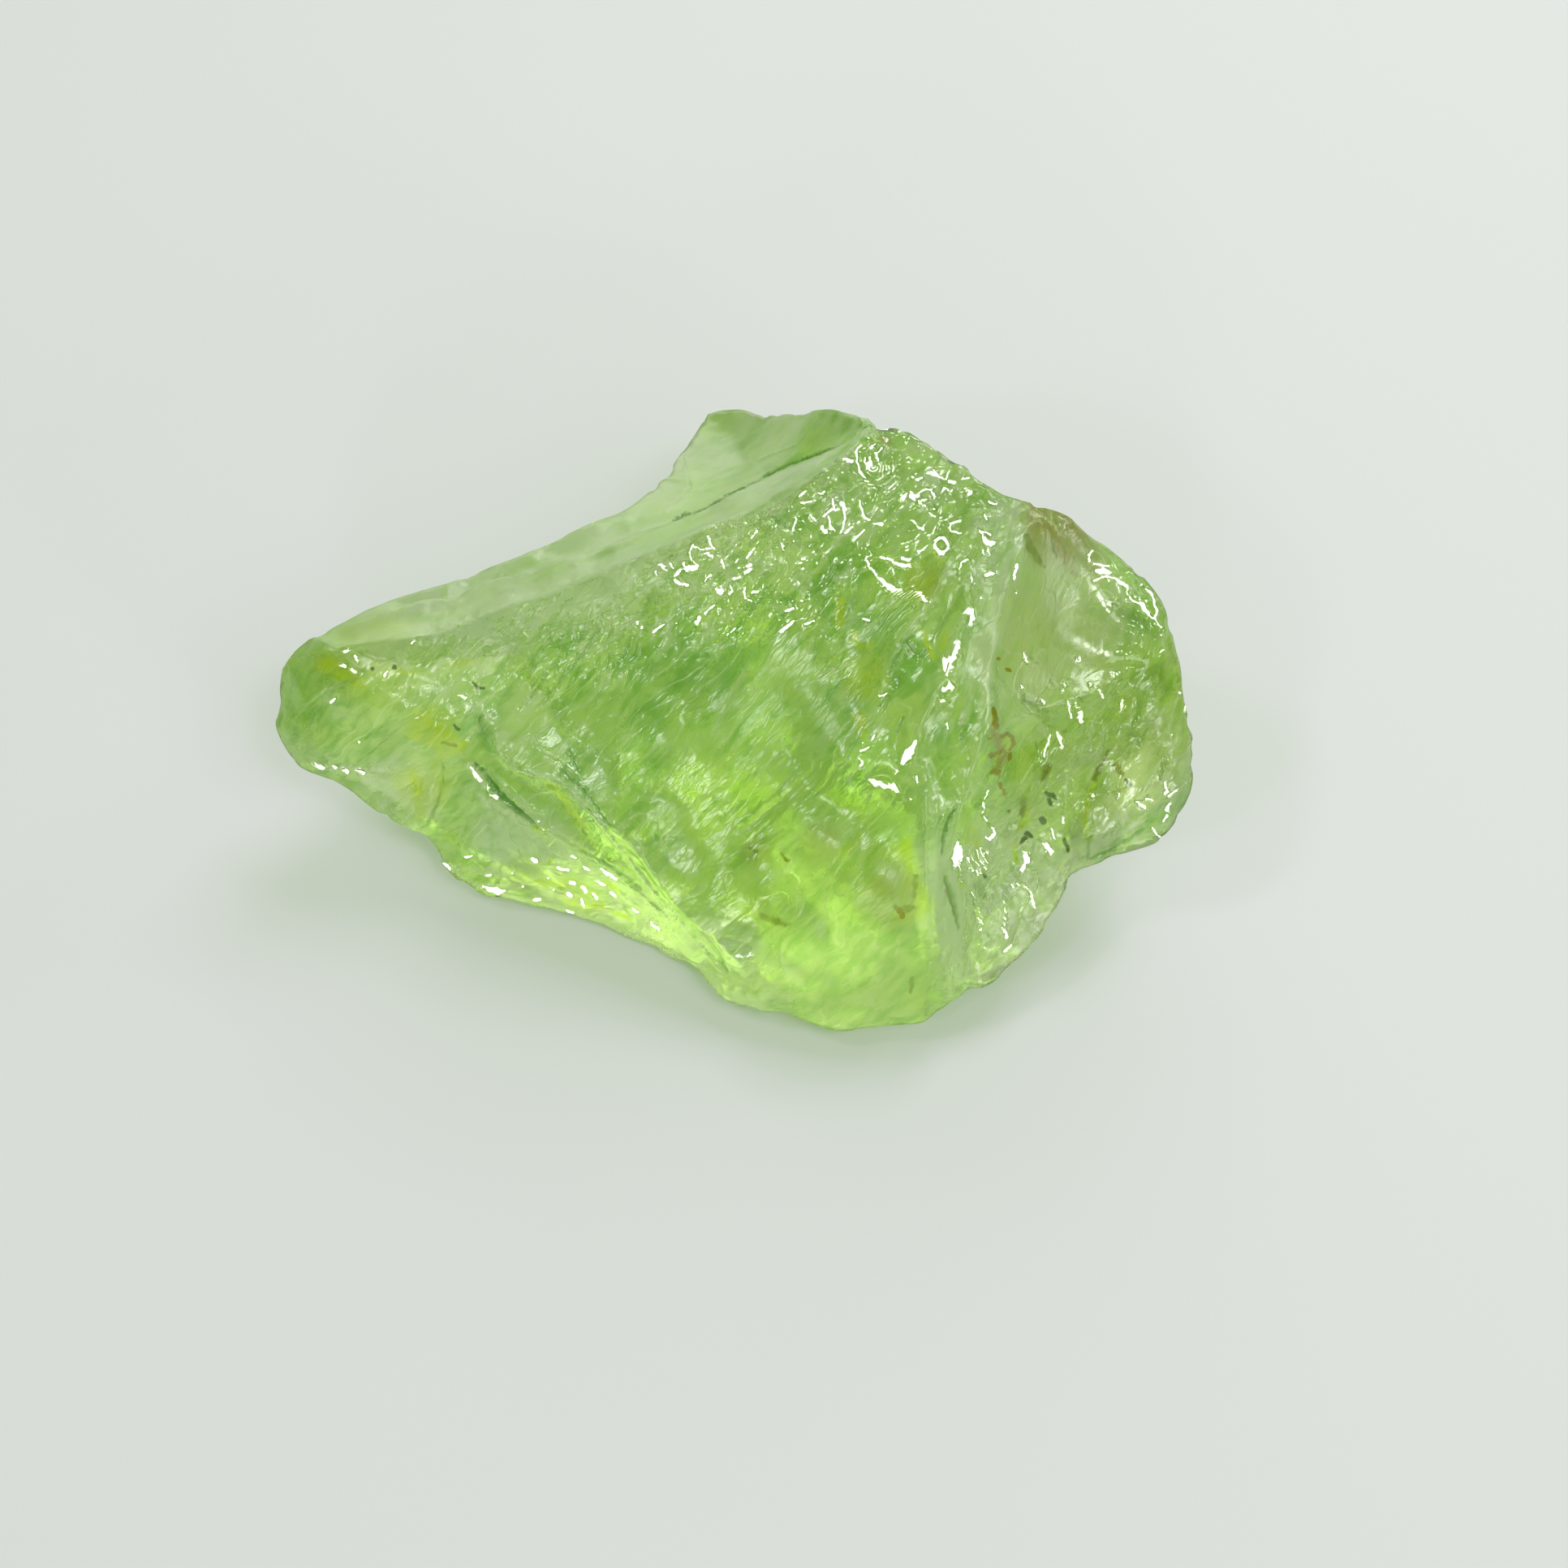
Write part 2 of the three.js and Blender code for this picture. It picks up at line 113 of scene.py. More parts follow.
# %% [markdown]
# Node helpers
#
# Shader trees and geometry trees are both built from nodes. One helper adds a node, sets its
# properties, and links or fills its inputs, so that each tree below reads as a list of steps. Another
# starts a node group with named inputs and outputs, which works as a function for nodes.

# %% Build trees in short lines
SOCKETS = {"float": "NodeSocketFloat", "vector": "NodeSocketVector"}


def add(tree, kind, feeds=None, **settings):
    """Adds a node. Settings are its properties, and feeds links or fills its inputs by name or number."""
    node = tree.nodes.new(kind)
    for name, value in settings.items():
        setattr(node, name, value)
    for key, value in (feeds or {}).items():
        if isinstance(value, bpy.types.NodeSocket):
            tree.links.new(value, node.inputs[key])
        else:
            node.inputs[key].default_value = value
    return node


def maths(tree, operation, a, b=0.0, c=0.0):
    """The result of one sum on numbers or sockets."""
    return add(tree, "ShaderNodeMath", {0: a, 1: b, 2: c}, operation=operation).outputs[0]


def vectors(tree, operation, a, b=(0, 0, 0), c=(0, 0, 0)):
    """The result of one sum on vectors: a vector, or a number for a distance or a product."""
    node = add(tree, "ShaderNodeVectorMath", {0: a, 1: b, 2: c}, operation=operation)
    return node.outputs[1 if operation in ("DISTANCE", "DOT_PRODUCT") else 0]


def scaled(tree, vector, factor):
    """A vector times a number."""
    feeds = {0: vector, "Scale": factor}
    return add(tree, "ShaderNodeVectorMath", feeds, operation="SCALE").outputs[0]


def ramp(tree, value, low, high, to_low=0.0, to_high=1.0):
    """Value brought from the range low to high to another one, eased at both ends."""
    feeds = {"Value": value, "From Min": low, "From Max": high, "To Min": to_low, "To Max": to_high}
    node = add(tree, "ShaderNodeMapRange", feeds, interpolation_type="SMOOTHSTEP")
    return node.outputs["Result"]


def tint(tree, factor, a, b):
    """Colour a, turned to colour b by the factor."""
    return add(tree, "ShaderNodeMix", {0: factor, 6: a, 7: b}, data_type="RGBA").outputs[2]


def total(tree, numbers):
    """The sum of a list of sockets."""
    result = numbers[0]
    for number in numbers[1:]:
        result = maths(tree, "ADD", result, number)
    return result


def between(tree, factor, a, b):
    """Number a, drawn to number b by the factor."""
    return maths(tree, "MULTIPLY_ADD", factor, maths(tree, "SUBTRACT", b, a), a)


def new_group(name, inputs, outputs):
    """A shader node group with named sockets. Gives the tree and what comes in at its inputs."""
    tree = bpy.data.node_groups.new(name, "ShaderNodeTree")
    for socket, kind in inputs.items():
        tree.interface.new_socket(socket, in_out="INPUT", socket_type=SOCKETS[kind])
    for socket, kind in outputs.items():
        tree.interface.new_socket(socket, in_out="OUTPUT", socket_type=SOCKETS[kind])
    return tree, tree.nodes.new("NodeGroupInput").outputs


def placed(tree, group, **feeds):
    """Sets a group in a tree, with its inputs filled, and gives its outputs."""
    return add(tree, "ShaderNodeGroup", feeds, node_tree=group).outputs


# %% [markdown]
# The skin, from coarse to fine
#
# The solid's triangles are a quarter of a millimetre wide. Two rounds of subdivision bring them to a
# sixteenth. Subdivision alone would melt every ridge, so each edge first gets a crease by how sharply
# its two faces bend: a real ridge stays crisp, and the shallow bends inside a face are smoothed away.
# The underside lies against the floor and needs fewer faces, so it gives some back afterwards.

# %% Subdivide the solid's skin
WELD = 0.001 * MM
# An edge that bends less than the first angle is smoothed away, and one past the second stays crisp.
SOFT_BEND = math.radians(22)
HARD_BEND = math.radians(60)
ROUNDS = 2
KEPT_SHARE = 0.69
UNDERSIDE_UP = -0.15


def ease(value, low, high):
    """0 below low, 1 above high, and a smooth step between, for numbers and arrays."""
    share = np.clip((value - low) / (high - low), 0, 1)
    return share * share * (3 - 2 * share)


def baked(piece):
    """Turns a piece's modifiers into plain mesh."""
    solved = piece.evaluated_get(bpy.context.evaluated_depsgraph_get())
    mesh = bpy.data.meshes.new_from_object(solved)
    piece.modifiers.clear()
    piece.data = mesh


def crease_ridges(mesh):
    """Welds a loose mesh, and notes for each edge and corner how sharp a ridge it is."""
    skin = bmesh.new()
    skin.from_mesh(mesh)
    bmesh.ops.remove_doubles(skin, verts=skin.verts, dist=WELD)
    crease = skin.edges.layers.float.new("crease_edge")
    ridge = skin.verts.layers.float.new("ridge")
    for edge in skin.edges:
        edge[crease] = float(ease(edge.calc_face_angle(0), SOFT_BEND, HARD_BEND))
        for corner in edge.verts:
            corner[ridge] = max(corner[ridge], edge[crease])
    skin.to_mesh(mesh)
    skin.free()


def triangles(mesh):
    """How many triangles a mesh has once its faces are split."""
    return len(mesh.loops) - 2 * len(mesh.polygons)


stone = show(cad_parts["tsavorite_garnet"].data.copy(), "tsavorite_skin")
crease_ridges(stone.data)
finer = stone.modifiers.new("finer", "SUBSURF")
finer.levels = finer.render_levels = ROUNDS
baked(stone)
underside = stone.vertex_groups.new(name="underside")
underside.add([v.index for v in stone.data.vertices if v.normal.z < UNDERSIDE_UP], 1.0, "REPLACE")
fewer = stone.modifiers.new("fewer", "DECIMATE")
fewer.ratio = KEPT_SHARE
fewer.vertex_group = "underside"
baked(stone)
stone.vertex_groups.clear()
print("skin triangles:", triangles(stone.data))

# %% [markdown]
# Reading and painting the skin
#
# Much of what makes this stone itself is in one place only: a pale band above the crest, which is painted
# sheen, a stain at the peak, a scalloped patch below it. Such things are painted. Each point of the skin
# gets a number for each kind of finish, and the node trees read those numbers by name. A noise alone would
# scatter the same finish everywhere. Broad patches are spots in millimetres. Small marks are strokes, like
# those of a pen: a list of photo pixels that the stroke runs through, each with its width there.

# %% Helpers to read and paint points
CAMERA_MM = np.array(CAMERA_SPOT) / MM
PHOTO_SIZE = 1932
FOCAL = LENS / SENSOR * PHOTO_SIZE
# A point that faces the camera by less than this counts as unseen.
GRAZING = 0.03
UNSEEN = -9999.0
# The waves that break up the edge of a stroke: pace, reach in pixels, and turn.
WOBBLES = [(0.31, 0.5, 0.4), (0.83, 0.3, 1.9)]
# A stroke narrower than this, in pixels, would slip between the points of the skin.
LEAST_WIDTH = 3.3
TINY = 1e-6


def spots_of(mesh):
    """All points of a mesh, in millimetres."""
    flat = np.empty(len(mesh.vertices) * 3, np.float32)
    mesh.vertices.foreach_get("co", flat)
    return flat.reshape(-1, 3).astype(float) / MM


def normals_of(mesh):
    """The direction that each point of the mesh faces."""
    flat = np.empty(len(mesh.vertices) * 3, np.float32)
    mesh.vertex_normals.foreach_get("vector", flat)
    return flat.reshape(-1, 3).astype(float)


def put_back(mesh, places):
    """Moves the points of a mesh to new places, in millimetres."""
    mesh.vertices.foreach_set("co", (places * MM).astype(np.float32).ravel())
    mesh.update()


def paint(mesh, name, values):
    """Stores one number for each point of the mesh, for the trees to read by name."""
    layer = mesh.attributes.new(name, "FLOAT", "POINT")
    layer.data.foreach_set("value", np.asarray(values, np.float32))


def blended(places, ground, spots):
    """The ground value, drawn to each spot's own value near it."""
    value = np.full(len(places), ground)
    for spot, radius, strength in spots:
        share = np.linalg.norm(places - np.array(spot), axis=1) / radius
        near = np.minimum(1, 2 * np.clip(1 - share**2, 0, 1) ** 2)
        value += (strength - value) * near
    return value


def unit(arrows):
    """Arrows made one long."""
    return arrows / np.linalg.norm(arrows, axis=-1, keepdims=True)


def in_photo(places, facing):
    """The pixel at which each point shows in the photograph. Points that face away get UNSEEN."""
    seen = (places - CAMERA_MM) @ np.array(camera.rotation_euler.to_matrix())
    flat = seen[:, :2] * (1, -1) / -seen[:, 2:]
    pixels = flat * FOCAL + PHOTO_SIZE / 2
    pixels[(facing * unit(CAMERA_MM - places)).sum(axis=1) < GRAZING] = UNSEEN
    return pixels


def wobbled(pixels):
    """Pixels pushed aside by a few waves, so that a stroke drawn on them has a broken edge."""
    pushed = pixels.copy()
    for pace, reach, turn in WOBBLES:
        slant = pace / 2 * pixels.sum(axis=1)[:, None]
        pushed += reach * np.sin(pace * np.roll(pixels, 1, axis=1) + turn + slant)
    return pushed


def inside_stroke(pixels, path):
    """How far inside a stroke each pixel lies: 1 in its middle, 0 on its edge, -1 well outside."""
    values = np.full(len(pixels), -1.0)
    ends = path * 2 if len(path) == 1 else path
    for (u_start, v_start, wide), (u_end, v_end, wide_end) in zip(ends, ends[1:]):
        start, end = np.array((u_start, v_start)), np.array((u_end, v_end))
        reach = max(wide, wide_end, LEAST_WIDTH)
        close = (pixels > np.minimum(start, end) - reach) & (pixels < np.maximum(start, end) + reach)
        near = np.flatnonzero(close.all(axis=1))
        arm, run = pixels[near] - start, end - start
        share = np.clip(arm @ run / max(run @ run, TINY), 0, 1)
        away = np.linalg.norm(arm - share[:, None] * run, axis=1)
        half = np.maximum(wide + (wide_end - wide) * share, LEAST_WIDTH) / 2
        values[near] = np.maximum(values[near], 1 - away / half)
    return values


def inside_any(pixels, paths):
    """How far inside the nearest of many strokes each pixel lies."""
    values = np.full(len(pixels), -1.0)
    for path in paths:
        values = np.maximum(values, inside_stroke(pixels, path))
    return values


print("focal length in pixels:", round(FOCAL))

# %% [markdown]
# The glints, stroke by stroke
#
# The white glints are what the eye finds first: a long curl below the peak with a ring beside it, a
# rippled patch at the top, a row of breaks along the right rim, drops of light in the hollow beside the
# rib. Each one is written down by region, with the lamp that it mirrors and its strokes.

# %% List the glints
# Name: lamp, and strokes.
GLINTS = {
    "peak_crescent": ("high_lamp", [
        [(1062, 549, 3), (1057, 552, 3), (1055, 557, 4), (1056, 568, 3), (1060, 581, 4), (1066, 590, 5),
         (1073, 598, 5), (1081, 603, 3)],
        [(1079, 589, 3), (1085, 599, 3), (1092, 608, 6), (1098, 606, 4), (1107, 598, 3)],
        [(1040, 567, 6), (1050, 568, 6)],
    ]),
    "peak_patch": ("high_lamp", [
        [(1067, 560, 3), (1066, 570, 4), (1070, 576, 8), (1080, 578, 8), (1092, 576, 7), (1103, 575, 5)],
        [(1079, 557, 4), (1081, 566, 6), (1088, 575, 6)],
        [(1072, 563, 4), (1073, 572, 7)],
        [(1069, 583, 3), (1082, 581, 3), (1095, 577, 3)],
        [(1084, 590, 3), (1093, 584, 3), (1101, 579, 3)],
        [(1090, 597, 3), (1102, 586, 3)],
        [(1094, 603, 2), (1107, 593, 3)],
        [(1073, 552, 5), (1078, 548, 3)],
        [(1082, 557, 3), (1086, 552, 3)],
    ]),
    "peak_right": ("high_lamp", [
        [(1108, 618, 2), (1110, 608, 3), (1113, 615, 7), (1117, 607, 3)],
        [(1122, 606, 3), (1124, 614, 4), (1132, 618, 3), (1142, 615, 3)],
        [(1122, 611, 6), (1132, 611, 5)],
        [(1133, 607, 2), (1140, 603, 3), (1148, 603, 4)],
        [(1148, 605, 3), (1151, 613, 5)],
        [(1124, 587, 2), (1130, 592, 3), (1136, 588, 2)],
        [(1144, 583, 6), (1150, 585, 6)],
        [(1151, 579, 2), (1156, 588, 3), (1166, 590, 3), (1169, 581, 3)],
        [(1169, 594, 5), (1177, 594, 5)],
        [(1188, 601, 3), (1197, 606, 6), (1189, 612, 3)],
        [(1185, 590, 2), (1197, 588, 3)],
        [(1160, 607, 3), (1164, 601, 3), (1172, 606, 3), (1174, 602, 2)],
        [(1150, 627, 6)],
        [(1146, 632, 3), (1152, 637, 3)],
        [(1132, 621, 3), (1141, 623, 3)],
        [(1124, 641, 3), (1130, 648, 3), (1137, 653, 4), (1139, 647, 2)],
        [(1184, 642, 3), (1170, 645, 3), (1172, 655, 3), (1184, 657, 3)],
        [(1218, 618, 2), (1228, 622, 3)],
        [(1213, 634, 2), (1216, 639, 4)],
    ]),
    "peak_left": ("high_lamp", [
        [(1040, 628, 3), (1041, 640, 3), (1038, 650, 3), (1036, 657, 3)],
        [(1042, 657, 3), (1050, 649, 4), (1058, 644, 3)],
        [(1052, 666, 2), (1066, 651, 3)],
        [(1037, 621, 8), (1042, 627, 5)],
        [(1059, 616, 2), (1061, 627, 3), (1065, 637, 5), (1071, 641, 3)],
        [(1077, 645, 3), (1086, 646, 5)],
        [(1026, 616, 3), (1028, 628, 3), (1034, 628, 3)],
        [(1021, 637, 3), (1024, 650, 3), (1029, 655, 2)],
        [(1016, 635, 5), (1026, 627, 2)],
        [(1012, 648, 4), (1016, 655, 7)],
    ]),
    "curl_tip": ("front_lamp", [[(1066, 688, 4), (1070, 696, 4), (1078, 706, 4), (1084, 712, 5)]]),
    "curl": ("left_lamp", [
        [(1082, 710, 5), (1088, 717, 7), (1095, 723, 10), (1105, 730, 12), (1118, 734, 13), (1128, 731, 12),
         (1137, 737, 9), (1145, 740, 4)],
        [(1066, 688, 4), (1072, 684, 4), (1082, 686, 3), (1092, 688, 4), (1100, 692, 5), (1108, 696, 6),
         (1120, 697, 7)],
        [(1112, 688, 5), (1120, 690, 5)],
        [(1124, 740, 2), (1127, 748, 4)],
        [(1132, 680, 5), (1139, 676, 3), (1143, 672, 3)],
    ]),
    "ring": ("high_lamp", [
        [(1152, 667, 5), (1156, 663, 5), (1163, 663, 5), (1168, 669, 5), (1168, 676, 5), (1164, 680, 5),
         (1156, 680, 5), (1152, 673, 5), (1152, 667, 5)],
        [(1157, 682, 5), (1163, 682, 5)],
    ]),
    "right_of_curl": ("high_lamp", [
        [(1207, 653, 3), (1211, 661, 4), (1216, 668, 9), (1224, 670, 7)],
        [(1207, 653, 3), (1220, 659, 2)],
        [(1211, 677, 2), (1212, 682, 2)],
        [(1218, 676, 2), (1219, 684, 3)],
        [(1227, 698, 3), (1222, 706, 10), (1214, 710, 8)],
        [(1224, 691, 2)],
        [(1183, 700, 2), (1184, 693, 3), (1192, 690, 4)],
        [(1197, 712, 4), (1198, 718, 3)],
        [(1209, 736, 4)],
        [(1253, 696, 5), (1249, 715, 3)],
        [(1252, 730, 4)],
        [(1187, 757, 4), (1195, 753, 11), (1199, 760, 7), (1197, 769, 5), (1192, 773, 3), (1178, 774, 3)],
    ]),
    "rim": ("high_lamp", [
        [(1346, 679, 3), (1341, 684, 3), (1343, 691, 4)],
        [(1347, 695, 3), (1356, 696, 4), (1366, 698, 2)],
        [(1352, 704, 6), (1360, 704, 9), (1369, 706, 4)],
        [(1347, 716, 2), (1356, 712, 2), (1366, 710, 2), (1376, 714, 4), (1384, 720, 5), (1388, 722, 4)],
        [(1389, 722, 2), (1390, 733, 3), (1394, 738, 4), (1402, 743, 4), (1408, 745, 6), (1411, 752, 6),
         (1416, 758, 4), (1422, 763, 2)],
        [(1423, 763, 2), (1427, 769, 3), (1431, 773, 1)],
        [(1412, 726, 2), (1419, 731, 4), (1421, 738, 3), (1424, 748, 2), (1426, 756, 2), (1423, 760, 2)],
        [(1407, 720, 4)],
        [(1426, 791, 3), (1432, 793, 4)],
        [(1429, 803, 3), (1433, 800, 3)],
        [(1408, 783, 4)],
    ]),
    "right_face": ("low_right_lamp", [
        [(1261, 805, 3), (1264, 812, 5), (1266, 816, 3)],
        [(1326, 812, 2), (1330, 810, 4), (1332, 815, 3), (1326, 815, 3)],
        [(1310, 840, 2), (1312, 845, 3), (1310, 851, 5)],
        [(1341, 840, 4), (1344, 846, 6)],
        [(1355, 846, 3), (1355, 852, 3), (1359, 859, 3)],
        [(1383, 862, 4), (1382, 870, 4), (1381, 876, 4)],
        [(1283, 862, 4), (1287, 866, 5)],
        [(1322, 862, 4), (1327, 870, 5), (1331, 880, 10), (1332, 886, 8), (1331, 892, 3)],
        [(1303, 902, 4), (1306, 912, 7), (1308, 920, 5)],
        [(1316, 864, 2), (1318, 874, 3), (1319, 884, 2)],
        [(1295, 906, 3), (1290, 918, 3), (1286, 932, 3)],
        [(1258, 845, 3), (1260, 849, 3)],
        [(1454, 853, 5)],
        [(1459, 876, 3), (1461, 869, 3)],
        [(1443, 906, 4)],
        [(1347, 980, 7)],
        [(1379, 978, 3), (1377, 984, 3)],
        [(1420, 1021, 3), (1424, 1026, 4), (1428, 1031, 3)],
    ]),
    "lobe": ("front_lamp", [
        [(1400, 988, 3), (1408, 992, 6), (1411, 996, 5)],
        [(1411, 984, 3), (1420, 986, 4)],
        [(1435, 964, 2), (1438, 975, 4)],
        [(1435, 978, 5)],
        [(1440, 981, 3), (1450, 973, 2)],
        [(1434, 1012, 3), (1438, 1005, 3)],
        [(1441, 990, 4), (1438, 998, 6)],
    ]),
    "hollow": ("high_lamp", [
        [(1180, 1037, 4), (1181, 1046, 12), (1180, 1057, 14), (1176, 1069, 4)],
        [(1182, 1062, 4), (1183, 1078, 3), (1185, 1086, 2)],
        [(1192, 1058, 5), (1194, 1070, 4)],
        [(1198, 1052, 3), (1199, 1072, 5)],
        [(1204, 1048, 4), (1205, 1078, 5)],
        [(1210, 1046, 6), (1210, 1076, 5)],
        [(1216, 1050, 5), (1215, 1070, 5)],
        [(1260, 1046, 3), (1265, 1054, 9), (1266, 1060, 10), (1260, 1070, 6), (1257, 1077, 2)],
        [(1281, 1034, 2), (1288, 1043, 4), (1294, 1052, 7)],
        [(1290, 1040, 2), (1297, 1048, 3)],
        [(1296, 1022, 3), (1299, 1033, 3)],
        [(1248, 1091, 7), (1258, 1090, 4), (1266, 1094, 3), (1271, 1103, 3), (1273, 1112, 5),
         (1275, 1119, 3)],
        [(1197, 1098, 4), (1200, 1112, 5), (1205, 1125, 6), (1210, 1138, 7), (1207, 1150, 3)],
        [(1236, 1111, 4), (1239, 1122, 3), (1237, 1142, 5), (1240, 1155, 6)],
        [(1246, 1165, 4), (1238, 1172, 4)],
        [(1218, 975, 3), (1213, 985, 3), (1211, 1002, 4), (1216, 1012, 3), (1224, 1023, 3), (1227, 1027, 4),
         (1220, 1033, 6), (1215, 1033, 4)],
        [(1310, 1014, 4), (1310, 1006, 3)],
    ]),
    "frosty_streak": ("low_left_lamp", [
        [(1174, 789, 6), (1180, 793, 9), (1180, 801, 8), (1173, 812, 13), (1169, 824, 11), (1166, 834, 4)],
        [(1163, 812, 5), (1164, 826, 6)],
        [(1155, 847, 5), (1164, 849, 11), (1173, 848, 11), (1172, 839, 6)],
        [(1159, 864, 6), (1164, 864, 5)],
        [(1131, 909, 3), (1125, 918, 6), (1120, 928, 13), (1115, 938, 10), (1110, 940, 4)],
        [(1105, 950, 4), (1102, 957, 3)],
        [(1070, 961, 5), (1080, 965, 8), (1092, 968, 10), (1103, 970, 9), (1109, 979, 4)],
        [(1128, 956, 2), (1131, 964, 2)],
        [(1166, 892, 4), (1169, 897, 4)],
        [(1110, 988, 4)],
        [(1122, 985, 3)],
        [(1060, 935, 5), (1062, 942, 6)],
        [(1060, 926, 2), (1070, 921, 3)],
        [(1063, 916, 3)],
        [(1074, 912, 2), (1077, 906, 3)],
        [(1084, 858, 3), (1092, 855, 4)],
        [(1064, 763, 5), (1070, 764, 7)],
    ]),
    "band": ("front_lamp", [
        [(853, 671, 3), (850, 682, 3), (852, 690, 3), (858, 695, 3)],
        [(864, 683, 3), (872, 682, 7), (878, 686, 6)],
        [(855, 674, 3), (866, 677, 3), (874, 676, 3)],
        [(872, 661, 4), (876, 671, 4), (881, 677, 3)],
        [(843, 694, 5), (847, 701, 9), (858, 699, 9)],
        [(838, 702, 7), (832, 709, 6)],
        [(832, 716, 5), (840, 720, 4), (848, 721, 3)],
        [(812, 696, 5), (818, 699, 7), (822, 704, 3)],
        [(808, 704, 3), (809, 709, 3)],
        [(825, 694, 2), (830, 700, 3)],
        [(884, 727, 9), (889, 729, 9)],
        [(900, 722, 2), (903, 728, 3), (899, 732, 2)],
        [(919, 722, 3), (916, 730, 3), (919, 738, 3), (926, 740, 3)],
        [(927, 729, 5), (933, 729, 6)],
        [(920, 688, 3), (930, 675, 3)],
        [(925, 663, 2), (933, 654, 4)],
        [(902, 699, 2), (909, 690, 3)],
        [(918, 706, 5), (925, 701, 5)],
        [(905, 713, 5), (913, 711, 4)],
        [(868, 717, 2), (876, 708, 4)],
        [(921, 698, 4), (926, 695, 4)],
        [(889, 690, 4), (892, 700, 4)],
        [(888, 665, 4)],
        [(963, 670, 4), (965, 679, 3)],
        [(965, 664, 3)],
        [(981, 638, 3), (977, 654, 3)],
        [(998, 634, 3), (1005, 642, 3)],
        [(987, 620, 3), (1000, 618, 3)],
        [(1008, 607, 3), (1014, 609, 4), (1017, 604, 3)],
        [(984, 613, 2), (994, 604, 3)],
        [(982, 695, 3), (987, 694, 4)],
        [(990, 700, 5)],
        [(1003, 680, 4)],
        [(858, 768, 7), (861, 762, 6)],
        [(804, 779, 3), (818, 770, 4)],
        [(968, 753, 3), (977, 749, 3)],
        [(962, 778, 4), (970, 772, 6), (978, 766, 3)],
        [(992, 769, 3), (1003, 765, 3)],
        [(868, 757, 2), (880, 745, 2)],
        [(784, 766, 5), (790, 773, 5)],
        [(833, 768, 3)],
        [(895, 782, 2), (905, 775, 3)],
    ]),
    "nose": ("low_left_lamp", [
        [(419, 820, 5), (427, 820, 7)],
        [(437, 809, 5), (441, 814, 4)],
        [(424, 804, 4), (429, 801, 4)],
        [(433, 825, 5), (439, 828, 4)],
        [(474, 832, 6), (478, 826, 3)],
        [(508, 793, 4), (511, 790, 3)],
        [(408, 865, 5), (412, 861, 4)],
        [(442, 915, 4)],
        [(566, 857, 3), (574, 860, 4)],
    ]),
    "nose_ledge": ("front_lamp", [
        [(384, 939, 3), (394, 945, 8), (404, 946, 4)],
        [(410, 944, 2), (415, 947, 3)],
        [(422, 947, 4), (429, 952, 4)],
        [(440, 948, 5), (448, 952, 4)],
    ]),
    "window_edge": ("front_lamp", [
        [(572, 939, 4), (582, 944, 8), (590, 956, 10), (597, 967, 5), (604, 974, 3)],
        [(604, 978, 4), (612, 983, 6)],
    ]),
    "window_sparkles": ("front_lamp", [
        [(541, 1061, 3), (547, 1064, 5), (555, 1071, 4)],
        [(574, 1056, 3), (581, 1055, 3)],
        [(656, 1058, 5), (661, 1062, 5)],
        [(687, 1069, 3), (700, 1073, 3)],
        [(704, 1055, 3), (709, 1057, 3)],
        [(740, 1071, 3), (750, 1077, 5), (761, 1084, 3)],
        [(594, 1092, 3), (604, 1096, 6), (613, 1098, 9), (621, 1098, 4)],
        [(598, 1079, 3), (604, 1079, 3)],
        [(702, 1087, 4), (708, 1089, 5)],
        [(717, 1093, 4), (722, 1098, 5)],
        [(731, 1102, 4), (736, 1107, 4)],
        [(699, 1101, 5), (704, 1104, 5)],
        [(716, 1109, 4), (720, 1115, 4)],
        [(659, 1109, 5), (665, 1108, 4)],
        [(699, 1122, 3), (706, 1125, 3)],
        [(752, 1099, 3), (758, 1104, 4)],
        [(735, 1086, 2), (746, 1091, 2)],
        [(719, 1068, 3), (726, 1072, 2)],
        [(632, 1076, 3)],
        [(644, 1092, 3)],
        [(675, 1082, 3)],
        [(682, 1096, 3)],
        [(664, 1012, 3)],
        [(780, 1120, 3), (786, 1124, 3)],
        [(802, 1137, 3), (812, 1146, 3)],
    ]),
}
print("glints:", sum(len(strokes) for lamp, strokes in GLINTS.values()))
